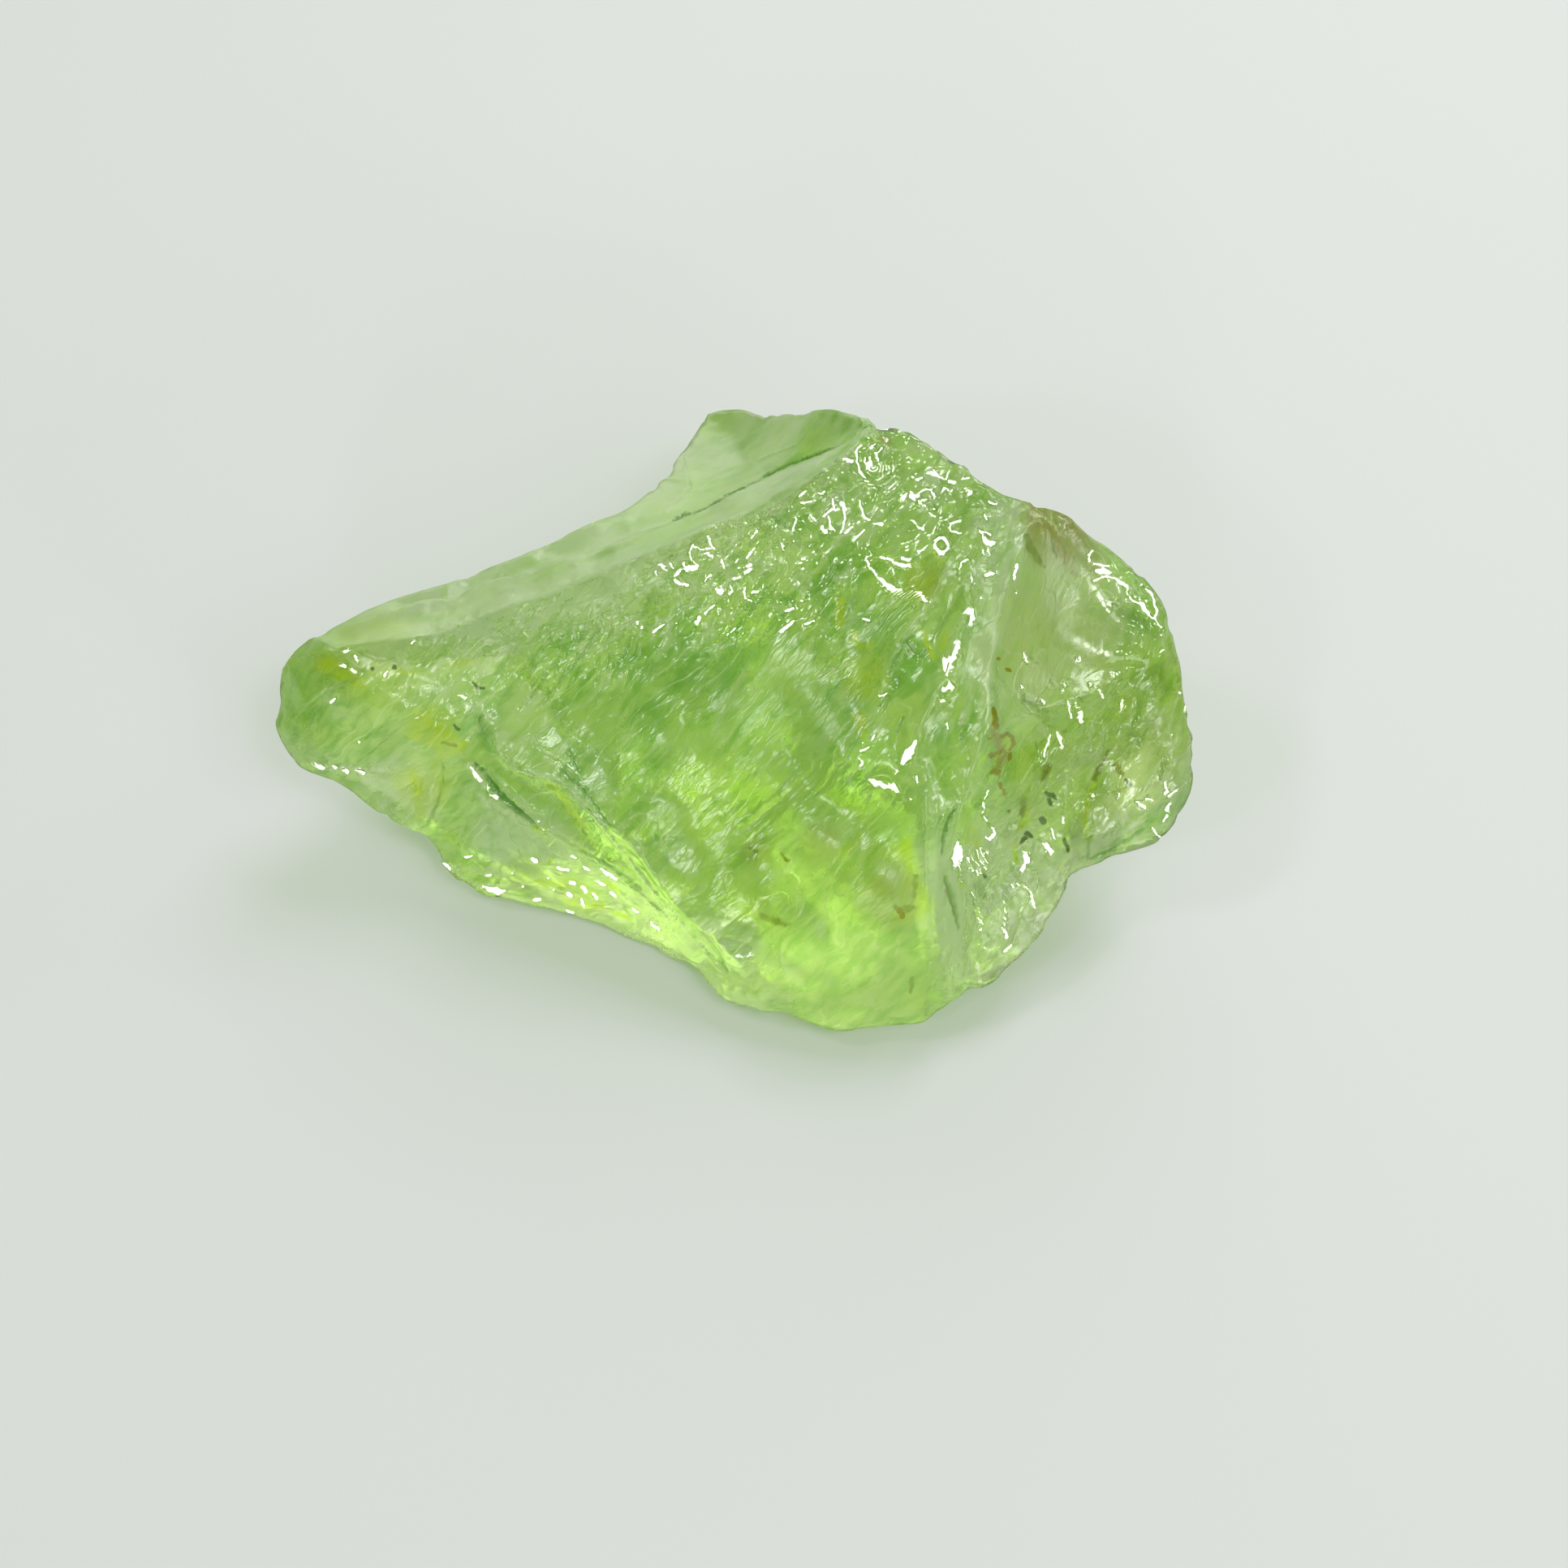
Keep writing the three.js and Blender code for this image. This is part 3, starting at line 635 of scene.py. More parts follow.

# %% [markdown]
# The ridges, stroke by stroke
#
# Some lines are raised and pale, such as the rounded rib down the right side and the ledges above the
# clear window at the lower left. Their pale tone is partly bruised skin and partly painted highlight and
# sheen along them. They are strokes as the glints are. Each group has a height, which is 0 for a line
# that is pale but doesn't stand up. The glow and the sparkle in the clear window, the bright line along
# the belly's edge and the pale floor of the hollow are painted light, of light let through the stone.

# %% List the ridges
# Name: height in millimetres, and strokes.
RIDGES = {
    "window_edge": (0.035, [[(572, 939, 6), (582, 944, 10), (590, 956, 12), (597, 967, 7), (604, 974, 4)]]),
    "window_line": (0.010, [[(600, 983, 4), (620, 991, 5), (640, 1003, 4)]]),
    # Painted light: the glow of light let through the clear window.
    "window_glow": (0.000, [[(588, 978, 6), (605, 992, 14), (620, 1004, 18), (636, 1003, 10)]]),
    "window_shoulder": (0.030, [
        [(601, 945, 4), (615, 960, 7), (630, 978, 8), (641, 990, 9), (655, 997, 7), (668, 1002, 4)],
    ]),
    "outer_ledge": (0.030, [
        [(612, 918, 4), (622, 935, 6), (637, 947, 8), (655, 954, 8), (680, 956, 7), (700, 970, 7),
         (718, 990, 8), (737, 1011, 8), (757, 1036, 7), (777, 1060, 7), (802, 1094, 8), (834, 1130, 9),
         (860, 1160, 7), (888, 1194, 6)],
    ]),
    "inner_ledge": (0.020, [
        [(660, 1018, 4), (690, 1032, 5), (715, 1048, 5), (740, 1064, 5), (760, 1078, 6), (790, 1103, 6),
         (820, 1128, 5)],
    ]),
    "flank_line": (0.012, [
        [(655, 905, 3), (668, 925, 5), (690, 935, 5), (715, 960, 4)],
        [(700, 905, 4), (728, 925, 6), (750, 938, 4)],
        [(905, 760, 4), (910, 735, 5), (925, 712, 4)],
        [(640, 880, 4), (670, 870, 5), (690, 850, 4)],
    ]),
    "nose_ledge": (0.030, [
        [(384, 939, 5), (394, 945, 9), (410, 945, 6), (430, 944, 5), (450, 947, 7), (470, 949, 7),
         (487, 946, 4)],
    ]),
    # Painted light: a bright line where light comes through the belly's edge.
    "belly_edge_light": (0.000, [
        [(508, 1018, 4), (530, 1038, 6), (552, 1068, 8), (585, 1090, 6), (612, 1098, 12), (650, 1112, 6),
         (700, 1124, 6), (745, 1134, 6)],
    ]),
    # Painted light: the sparkle of light let through the clear window.
    "window_sparkle_light": (0.006, [
        [(545, 1066, 8), (575, 1070, 12), (610, 1074, 14), (648, 1070, 14)],
        [(600, 1090, 8), (640, 1092, 10), (660, 1096, 8)],
        [(640, 1058, 8), (665, 1060, 12), (690, 1064, 10)],
        [(690, 1078, 10), (720, 1082, 14), (748, 1094, 12)],
        [(700, 1104, 12), (728, 1114, 12), (756, 1118, 10)],
        [(762, 1092, 8), (784, 1112, 10), (806, 1136, 8)],
        [(770, 1128, 6), (800, 1150, 8), (835, 1170, 6)],
    ]),
    # The crest and the bands of the far slope: painted highlight and sheen.
    "crest": (0.012, [
        [(470, 797, 4), (520, 781, 5), (600, 757, 6), (700, 722, 7), (780, 690, 8), (820, 674, 9),
         (850, 660, 9), (872, 648, 8), (900, 638, 7), (940, 627, 7), (970, 610, 6), (1000, 590, 6),
         (1030, 568, 6), (1052, 552, 6)],
    ]),
    "back_bands": (0.010, [
        [(560, 745, 5), (640, 722, 9), (720, 690, 9), (780, 662, 10), (830, 640, 6)],
        [(800, 655, 7), (790, 652, 9)],
        [(850, 640, 6), (900, 622, 12), (950, 600, 14), (1000, 572, 12), (1035, 552, 6)],
        [(845, 612, 5), (880, 590, 8), (930, 568, 7), (980, 548, 4)],
        [(840, 560, 4), (850, 600, 7), (820, 630, 8)],
    ]),
    "ribbon": (0.030, [
        [(1181, 683, 5), (1172, 690, 12), (1164, 705, 14), (1157, 722, 14), (1150, 737, 13),
         (1140, 751, 13), (1128, 765, 13), (1118, 780, 12), (1108, 796, 9), (1097, 815, 6)],
    ]),
    "rib": (0.035, [
        [(1140, 940, 12), (1143, 960, 24), (1146, 1000, 36), (1147, 1050, 40), (1146, 1100, 42),
         (1150, 1150, 42), (1158, 1190, 34), (1170, 1225, 16)],
    ]),
    "rib_streaks": (0.012, [
        [(1140, 965, 4), (1143, 1010, 7), (1141, 1060, 8), (1144, 1110, 5)],
        [(1154, 985, 4), (1155, 1040, 7), (1152, 1090, 6)],
        [(1150, 1100, 6), (1154, 1150, 9), (1164, 1195, 6)],
        [(1164, 1130, 5), (1170, 1165, 8), (1180, 1200, 6)],
    ]),
    "right_strip": (0.010, [
        [(1262, 640, 6), (1250, 665, 10), (1243, 700, 10), (1238, 735, 9), (1232, 765, 6)],
        [(1235, 650, 8), (1228, 690, 10), (1222, 720, 8)],
        [(1206, 800, 5), (1196, 860, 12), (1186, 890, 10)],
        [(1192, 845, 10), (1205, 838, 12), (1212, 850, 8)],
    ]),
    "right_fan": (0.012, [
        [(1350, 880, 4), (1343, 905, 7), (1338, 935, 5)],
        [(1362, 890, 4), (1357, 915, 6), (1346, 945, 4)],
        [(1325, 920, 4), (1318, 950, 6), (1312, 985, 5), (1309, 1015, 5)],
        [(1395, 840, 8), (1388, 850, 10)],
        [(1372, 850, 3), (1364, 862, 4)],
        [(1418, 885, 12), (1425, 905, 10)],
        [(1385, 893, 4), (1393, 894, 4)],
        [(1282, 895, 10), (1290, 905, 8)],
    ]),
    "corner_facet": (0.000, [
        [(1345, 1050, 5), (1352, 1026, 12), (1360, 1004, 12)],
        [(1350, 1048, 5), (1364, 1024, 14), (1374, 1004, 14)],
        [(1356, 1044, 5), (1376, 1022, 12), (1388, 1006, 12)],
        [(1362, 1041, 4), (1384, 1024, 9), (1404, 1012, 8)],
        [(1362, 984, 14), (1370, 982, 14)],
        [(1400, 1040, 6), (1412, 1036, 8)],
    ]),
    # Painted light: the floor of the hollow, pale where light shows through it.
    "hollow_floor_light": (0.000, [
        [(1228, 1050, 12), (1230, 1080, 14), (1232, 1110, 10)],
        [(1215, 1130, 16), (1222, 1160, 18)],
        [(1300, 1060, 18), (1285, 1080, 14)],
        [(1185, 1112, 10), (1190, 1140, 12), (1196, 1170, 14)],
        [(1250, 1120, 14), (1256, 1100, 12)],
    ]),
}
print("groups of ridges:", len(RIDGES))

# %% [markdown]
# The cracks, stroke by stroke
#
# Cracks are cut in, and their dark tone is painted shade, for little light comes back out of them. Broad
# shallow ones are hollows, painted dark as the shade that lies in them. How dark a crack is, or how pale a
# ridge, is listed apart from its depth, because a hair crack can be deep and yet hardly show.

# %% List the cracks
# Name: depth in millimetres, and strokes.
CRACKS_AND_SHADE = {
    "window_line": (0.040, [
        [(577, 934, 3), (590, 945, 4), (600, 959, 7), (611, 973, 10), (622, 985, 10), (637, 998, 9),
         (650, 1008, 7), (662, 1020, 5)],
    ]),
    "ledge_shade": (0.015, [
        [(690, 948, 4), (712, 968, 6), (728, 985, 5), (750, 1015, 5)],
        [(866, 1150, 4), (880, 1168, 6), (896, 1196, 6)],
        [(742, 1060, 4), (765, 1075, 4), (790, 1094, 4)],
        [(700, 925, 5), (712, 950, 6)],
    ]),
    "back_crack": (0.030, [
        [(829, 641, 4), (845, 634, 3), (860, 630, 3), (880, 619, 3), (900, 608, 3), (920, 599, 3),
         (945, 585, 4), (970, 573, 3), (1000, 562, 3), (1028, 552, 2)],
        [(829, 641, 3), (843, 631, 3)],
    ]),
    "rib_crack": (0.040, [
        [(1176, 998, 3), (1168, 1012, 5), (1163, 1030, 6), (1161, 1050, 4)],
        [(1164, 1080, 5), (1172, 1100, 9), (1178, 1125, 7), (1181, 1144, 3)],
    ]),
    "hollow_shade": (0.010, [
        [(1212, 1078, 5), (1218, 1082, 7)],
        [(1205, 1090, 14), (1212, 1105, 12)],
    ]),
    "keel_line": (0.020, [[(546, 941, 3), (545, 960, 4), (541, 980, 5), (534, 1000, 6), (527, 1014, 6)]]),
    "rim_hollow": (0.020, [
        [(1364, 742, 10), (1378, 753, 17), (1392, 760, 19), (1410, 768, 18), (1425, 782, 14)],
        [(1404, 836, 26), (1425, 825, 20), (1440, 850, 16)],
    ]),
    "lobe_hollow": (0.015, [
        [(1395, 905, 18), (1408, 912, 20)],
        [(1402, 860, 8), (1400, 890, 10)],
        [(1372, 858, 5), (1377, 852, 5)],
        [(1437, 935, 8), (1432, 960, 8)],
    ]),
    "shelf": (0.015, [
        [(1265, 862, 16), (1280, 870, 17), (1290, 885, 8)],
        [(1262, 868, 3), (1272, 880, 4), (1285, 886, 4), (1293, 895, 3)],
        [(1268, 806, 3), (1278, 816, 5)],
        [(1318, 838, 5), (1326, 848, 3)],
        [(1329, 858, 4), (1335, 866, 5)],
        [(1276, 914, 3), (1279, 930, 4)],
        [(1295, 838, 4), (1300, 845, 3)],
    ]),
    "corner_edges": (0.020, [
        [(1345, 1058, 4), (1370, 1047, 4), (1390, 1036, 4), (1410, 1021, 3)],
        [(1340, 1057, 5), (1342, 1035, 4), (1350, 1005, 3)],
        [(1360, 1032, 3), (1372, 1024, 3)],
        [(1386, 1037, 3), (1402, 1025, 4)],
    ]),
    "flank_shade": (0.020, [
        [(1094, 829, 4), (1104, 815, 6), (1112, 803, 6)],
        [(1098, 836, 14), (1108, 836, 20), (1104, 846, 10)],
        [(1088, 868, 14), (1094, 858, 14)],
        [(1132, 814, 7), (1142, 800, 9)],
        [(1105, 902, 5), (1113, 884, 5)],
        [(1115, 790, 14), (1128, 806, 16)],
        [(1168, 755, 10), (1156, 775, 10), (1148, 790, 8)],
        [(1185, 910, 8), (1188, 895, 8)],
        [(998, 732, 18), (1012, 718, 22), (1028, 702, 22)],
        [(962, 735, 14), (975, 742, 16)],
        [(925, 648, 5), (950, 636, 5), (970, 650, 5)],
        [(828, 688, 8)],
        [(588, 880, 6), (590, 900, 14), (600, 920, 12)],
    ]),
    "face_streaks": (0.012, [
        [(640, 875, 3), (668, 838, 5), (690, 812, 3)],
        [(700, 830, 3), (722, 800, 6), (738, 775, 4)],
        [(760, 820, 4), (775, 795, 5)],
        [(905, 780, 4), (930, 745, 6), (950, 722, 4)],
        [(935, 790, 3), (960, 760, 4), (985, 745, 3)],
        [(1000, 770, 4), (1015, 745, 5), (1022, 730, 3)],
        [(800, 740, 12), (815, 735, 12)],
    ]),
}
# How pale each ridge is, partly as painted highlight, sheen and light, and how dark each crack is,
# as painted shade, from 0 to 1. The others are half way.
TONES = {
    "window_edge": 1.0, "window_glow": 1.0, "window_sparkle_light": 1.0, "outer_ledge": 0.8, "nose_ledge": 0.9,
    "crest": 1.0, "back_bands": 0.9, "right_strip": 0.7, "right_fan": 0.9, "corner_facet": 1.0,
    "belly_edge_light": 1.0, "hollow_floor_light": 0.9, "window_line": 1.0, "back_crack": 0.9, "rib_crack": 0.8,
    "rim_hollow": 0.45, "lobe_hollow": 0.35, "flank_shade": 0.35, "face_streaks": 0.3, "hollow_shade": 0.4,
}
COMMON_TONE = 0.5
print("groups of cracks:", len(CRACKS_AND_SHADE))

# %% [markdown]
# The stains, stroke by stroke
#
# Stains lie flat: yellow where iron tints the green, brown and olive where it has gathered, rust in hair
# cracks, and dark specks. Some of the yellow in the clear lower left is painted light, the yellowish
# sparkle of light let through there. Each kind has one list, for all of a kind are painted together.

# %% List the stains
# Kind: strokes.
STAINS = {
    "yellow": [
        # The burst at the keel and the facet below it.
        [(515, 878, 12), (532, 893, 20), (548, 905, 22), (560, 912, 16)],
        [(500, 905, 6), (530, 912, 12), (552, 918, 12), (572, 921, 8)],
        [(510, 955, 30), (515, 985, 30), (520, 1005, 16)],
        [(535, 945, 16), (545, 930, 12)],
        [(560, 925, 20), (575, 915, 14)],
        # The upper nose.
        [(490, 828, 12), (512, 830, 12)],
        [(560, 818, 14), (578, 816, 14)],
        [(400, 815, 40), (440, 840, 30)],
        # Along the outer ledge and the clear edge: partly iron stain, partly painted light let through
        # there.
        [(672, 965, 8), (688, 975, 14), (705, 1000, 16), (722, 1020, 14)],
        [(660, 1020, 12), (672, 1024, 12)],
        [(655, 1085, 10), (668, 1088, 20), (692, 1092, 22)],
        [(698, 1112, 14), (710, 1113, 12)],
        [(726, 1117, 14), (744, 1116, 12)],
        [(770, 1055, 6), (776, 1062, 8)],
        [(548, 1072, 7), (560, 1080, 7)],
        [(640, 1080, 9), (652, 1078, 9)],
        [(676, 1066, 8), (682, 1056, 7)],
        [(744, 1086, 8), (764, 1098, 9)],
        [(752, 1122, 7), (776, 1132, 8)],
        # Patches near the ring and on the flank.
        [(1150, 712, 16), (1138, 722, 18), (1122, 712, 14)],
        [(1153, 683, 10), (1158, 692, 12)],
        [(1070, 795, 18)],
        [(1066, 832, 24), (1078, 836, 12)],
        [(1060, 800, 16), (1052, 780, 14)],
        [(1060, 885, 24), (1064, 905, 16)],
        [(1036, 740, 18), (1034, 768, 18)],
        [(1090, 633, 8)],
        [(1135, 775, 10), (1150, 810, 10)],
        [(1165, 780, 12), (1160, 800, 10)],
        # The hollow beside the rib and the right face.
        [(1262, 985, 18), (1265, 1012, 18), (1254, 1022, 12)],
        [(1250, 1042, 10), (1252, 1062, 8)],
        [(1200, 1024, 16), (1205, 1040, 14), (1190, 1034, 12)],
        [(1185, 1090, 14)],
        [(1290, 948, 24)],
        [(1240, 912, 20), (1228, 935, 16)],
        [(1352, 962, 10), (1342, 980, 16), (1336, 1005, 14), (1340, 1035, 8)],
        [(1378, 946, 12), (1381, 952, 12)],
        [(1365, 925, 4), (1355, 943, 6), (1349, 958, 7)],
        [(1335, 800, 10), (1340, 808, 8)],
        # The lower part of the main face, left of the rib.
        [(1115, 1040, 24), (1120, 1080, 26), (1112, 1110, 20)],
        [(1060, 1030, 16), (1040, 1050, 20)],
    ],
    "brown": [
        [(1284, 640, 16), (1298, 660, 32), (1314, 688, 34), (1326, 706, 22)],
        [(1086, 540, 14), (1096, 545, 12)],
        [(1224, 900, 16), (1236, 930, 18), (1228, 952, 12)],
        [(1164, 1096, 4), (1172, 1110, 6), (1177, 1126, 5)],
    ],
    "olive": [
        [(1264, 660, 10), (1268, 674, 16), (1277, 686, 14), (1285, 698, 7)],
        [(1295, 660, 4), (1297, 672, 5), (1302, 688, 4)],
        [(1102, 1117, 8), (1112, 1122, 14), (1124, 1117, 10)],
        [(1128, 1080, 9), (1127, 1104, 8)],
        [(1124, 1206, 8), (1122, 1222, 7)],
        [(1366, 924, 5), (1356, 943, 8), (1349, 960, 9)],
        [(1376, 944, 12), (1381, 953, 12)],
        [(1290, 945, 16), (1286, 960, 12)],
        [(1258, 1004, 10), (1262, 985, 12)],
        [(545, 915, 5), (562, 919, 6)],
        [(938, 1128, 10), (952, 1134, 13), (970, 1138, 11)],
        [(924, 1045, 6), (932, 1050, 7)],
        [(962, 1052, 6), (970, 1060, 7)],
    ],
    "rust": [
        [(1224, 873, 6), (1226, 886, 9), (1228, 896, 9)],
        [(1219, 910, 6)],
        [(1234, 908, 5), (1240, 904, 5), (1247, 908, 6), (1249, 916, 6), (1245, 923, 6)],
        [(1221, 931, 8), (1229, 928, 7), (1238, 925, 5)],
        [(1243, 928, 5), (1244, 935, 6)],
        [(1222, 951, 8), (1231, 951, 8)],
        [(1231, 965, 5), (1235, 972, 5), (1238, 979, 4)],
        [(1230, 812, 6)],
        [(1240, 825, 6), (1245, 826, 4)],
        [(1108, 1122, 8), (1112, 1130, 7)],
    ],
    "speck": [
        [(1288, 976, 4), (1296, 980, 7), (1302, 984, 4)],
        [(1291, 984, 4), (1296, 992, 5)],
        [(1284, 1010, 8), (1286, 1014, 7)],
        [(1264, 1026, 6), (1270, 1030, 5)],
        [(1262, 1033, 7), (1258, 1037, 5)],
        [(1311, 1034, 5), (1314, 1041, 5), (1316, 1049, 4)],
        [(560, 894, 4), (565, 899, 5)],
        [(582, 841, 3), (588, 847, 4), (596, 848, 4)],
        [(486, 822, 7)],
        [(459, 824, 5)],
        [(1214, 1080, 6)],
        [(1240, 983, 3)],
        [(1243, 999, 5)],
        [(1388, 962, 5), (1394, 968, 4)],
    ],
}
print("stains:", sum(len(strokes) for strokes in STAINS.values()))

# %% [markdown]
# More points where the marks are
#
# The skin's points are about four photo pixels apart, and a fine mark is only four wide. Halving the
# whole skin again would take four times as many faces. So only the faces near a fine mark are halved,
# and those at the finest glints once more.

# %% Refine the skin near the fine marks
glint_strokes = [path for lamp, strokes in GLINTS.values() for path in strokes]
line_strokes = [path for lines in (RIDGES, CRACKS_AND_SHADE) for depth, strokes in lines.values() for path in strokes]
stain_strokes = [path for strokes in STAINS.values() for path in strokes]
# For each round: the strokes, the widest that counts as fine, and how far inside a stroke a point must be.
FINE_ROUNDS = [(glint_strokes + line_strokes + stain_strokes, 9, -0.4), (glint_strokes, 5, 0.1)]


def refine(mesh, chosen):
    """Halves the edges of all faces that have a chosen point."""
    skin = bmesh.new()
    skin.from_mesh(mesh)
    faces = [face for face in skin.faces if any(chosen[corner.index] for corner in face.verts)]
    edges = {edge for face in faces for edge in face.edges}
    bmesh.ops.subdivide_edges(skin, edges=list(edges), cuts=1, use_grid_fill=True)
    skin.to_mesh(mesh)
    skin.free()


for strokes, widest, least in FINE_ROUNDS:
    fine = [path for path in strokes if max(width for u, v, width in path) <= widest]
    pixels = in_photo(spots_of(stone.data), normals_of(stone.data))
    refine(stone.data, inside_any(pixels, fine) > least)
    print("skin triangles after refining:", triangles(stone.data))

# %% [markdown]
# What each patch of skin is like
#
# The faces don't all break alike. Below the crest the skin is crumpled into small scallops, the upper
# right face and the back slope are almost smooth, and the right end is chipped coarsely. Each spot is a
# place in millimetres, a radius, and how strong the scallops or the frost are there.

# %% Paint the scallops and the frost
SCALLOP_GROUND = 0.09
SCALLOP_SPOTS = [
    # Below the crest, from the nose to the far end.
    ((-2.9, -0.3, 2.6), 0.8, 0.5),
    ((-2.1, -0.1, 2.8), 0.8, 0.6),
    ((-1.4, 0.2, 2.9), 0.8, 0.7),
    ((-0.5, 0.4, 3.2), 0.9, 0.9),
    ((0.3, 0.7, 3.4), 0.9, 0.9),
    ((0.9, 1.0, 3.6), 1.0, 0.9),
    ((1.5, 1.3, 3.8), 1.0, 1.0),
    ((2.1, 1.2, 3.8), 0.9, 1.0),
    ((2.4, 0.8, 3.8), 0.7, 0.7),
    ((1.3, 0.6, 3.4), 1.0, 0.6),
    # The chipped right end.
    ((4.3, 0.5, 3.0), 0.8, 0.6),
    ((4.5, -0.7, 2.3), 1.0, 0.3),
    ((4.6, -1.2, 1.9), 1.0, 0.35),
    ((3.7, -1.1, 2.0), 0.9, 0.3),
    ((3.1, -1.8, 1.3), 1.0, 0.35),
    ((2.8, -2.4, 1.0), 0.8, 0.35),
    # The belly.
    ((-2.4, 0.6, 1.0), 1.5, 0.55),
    ((-1.0, -0.8, 0.3), 1.2, 0.4),
    # The upper right face, the nose, the toe and the column are smooth.
    ((3.4, 0.4, 3.3), 1.0, 0.04),
    ((3.2, -0.3, 3.0), 0.8, 0.08),
    ((-4.2, -0.3, 2.3), 0.9, 0.08),
    ((-3.9, -0.9, 1.5), 0.8, 0.06),
    ((1.2, -2.9, 1.0), 1.1, 0.06),
    ((-0.2, -2.7, 0.4), 0.9, 0.0),
    ((2.2, -2.2, 1.9), 0.5, 0.08),
    ((-2.2, -1.4, 1.1), 0.8, 0.05),
    # The middle of the main face.
    ((0.6, -0.3, 2.7), 0.6, 0.05),
    ((0.0, -0.6, 2.4), 0.8, 0.05),
]
FROST_GROUND = 0.55
FROST_SPOTS = [
    # The toe, the column, the nose, the upper right face and the lower main face.
    ((1.2, -2.9, 0.9), 1.6, 1.0),
    ((2.2, -2.2, 1.9), 0.8, 0.8),
    ((3.3, 0.2, 3.2), 1.1, 0.9),
    ((-4.2, -0.4, 2.2), 1.2, 0.5),
    ((0.0, -1.6, 1.7), 1.6, 0.65),
    ((0.4, -0.7, 2.5), 1.0, 0.8),
    # The bright scalloped band, the right end and the clear lower left.
    ((0.3, 0.7, 3.4), 1.1, 0.1),
    ((1.5, 1.3, 3.8), 1.2, 0.05),
    ((4.3, 0.3, 2.8), 1.2, 0.15),
    ((3.6, -1.5, 1.6), 1.8, 0.35),
    ((-1.8, -1.7, 0.8), 1.3, 0.1),
    ((0.0, -2.8, 0.4), 1.0, 0.15),
    ((2.6, -2.8, 0.5), 0.8, 0.15),
]
BACK_FROST = 0.9
BACK_SCALLOPS = 0.03
# The crest as the photograph shows it, from the nose to the peak. The back slope lies above it.
CREST_U = (340, 470, 520, 600, 700, 780, 820, 850, 872, 900, 940, 970, 1000, 1030, 1058, 1064)
CREST_V = (815, 799, 784, 760, 726, 694, 678, 664, 652, 642, 631, 614, 594, 572, 548, 400)
CREST_SOFTNESS = 4.0
# An unseen point is on the back slope if it faces away by more than this.
AWAY_FACING = 0.2


def behind_crest(places, facing):
    """1 on the slope behind the crest, 0 in front of it."""
    pixels = in_photo(places, facing)
    above = np.interp(pixels[:, 0], CREST_U, CREST_V) - pixels[:, 1]
    hidden = pixels[:, 0] == UNSEEN
    return np.where(hidden, facing[:, 1] > AWAY_FACING, ease(above, 0.0, CREST_SOFTNESS))


places, facing = spots_of(stone.data), normals_of(stone.data)
behind = behind_crest(places, facing)
scallops = blended(places, SCALLOP_GROUND, SCALLOP_SPOTS)
paint(stone.data, "scallops", scallops + (BACK_SCALLOPS - scallops) * behind)
frost = blended(places, FROST_GROUND, FROST_SPOTS)
paint(stone.data, "frost", frost + (BACK_FROST - frost) * behind)
paint(stone.data, "back_slope", behind)
print("share of the skin behind the crest:", round(float(behind.mean()), 2))

# %% [markdown]
# Carve the relief
#
# A geometry tree moves each point along its own normal. It adds up three kinds of relief: broad
# scallops, fine scallops, and nicks along the ridges. A scallop is a Voronoi cell whose height goes with
# the square of the distance to its centre, so that it is a round bowl with a sharp rim, like a chip
# in glass. A noise bends the pattern first, because bare Voronoi cells look like a net.

# %% Make the relief tree
# Widths and depths in millimetres. Near the floor the relief fades out, so that the stone rests flat.
RELIEF = {
    "Broad Width": 0.42,
    "Broad Depth": 0.055,
    "Fine Width": 0.20,
    "Fine Depth": 0.030,
    "Nick Width": 0.30,
    "Nick Depth": 0.03,
    "Sole Fade": 0.15,
}
WARP_SCALE = 1.6
WARP_REACH = 0.5
# A bowl rises from its middle to its rim until the squared distance reaches this.
BOWL_RIM = 0.6
# The noise values between which the skin along a ridge goes from whole to nicked.
NICK_FROM = 0.5
NICK_TO = 0.68


def attribute(tree, name):
    """A number that was painted on the points."""
    node = add(tree, "GeometryNodeInputNamedAttribute", {"Name": name}, data_type="FLOAT")
    return node.outputs["Attribute"]


def bent(tree, place, scale, reach):
    """A place pushed aside by a noise, so that a pattern read there loses its regular look."""
    noise = add(tree, "ShaderNodeTexNoise", {"Vector": place, "Scale": scale, "Detail": 2.0})
    push = vectors(tree, "SUBTRACT", noise.outputs["Color"], (0.5, 0.5, 0.5))
    return vectors(tree, "MULTIPLY_ADD", push, (reach, reach, reach), place)


def bowls(tree, where, width):
    """Scallops of a width: -0.5 in the middle of each bowl and 0.5 on its rim."""
    scale = maths(tree, "DIVIDE", 1.0, width)
    cell = add(tree, "ShaderNodeTexVoronoi", {"Vector": where, "Scale": scale}, feature="F1")
    square = maths(tree, "POWER", cell.outputs["Distance"], 2.0)
    return maths(tree, "SUBTRACT", ramp(tree, square, 0.0, BOWL_RIM), 0.5)


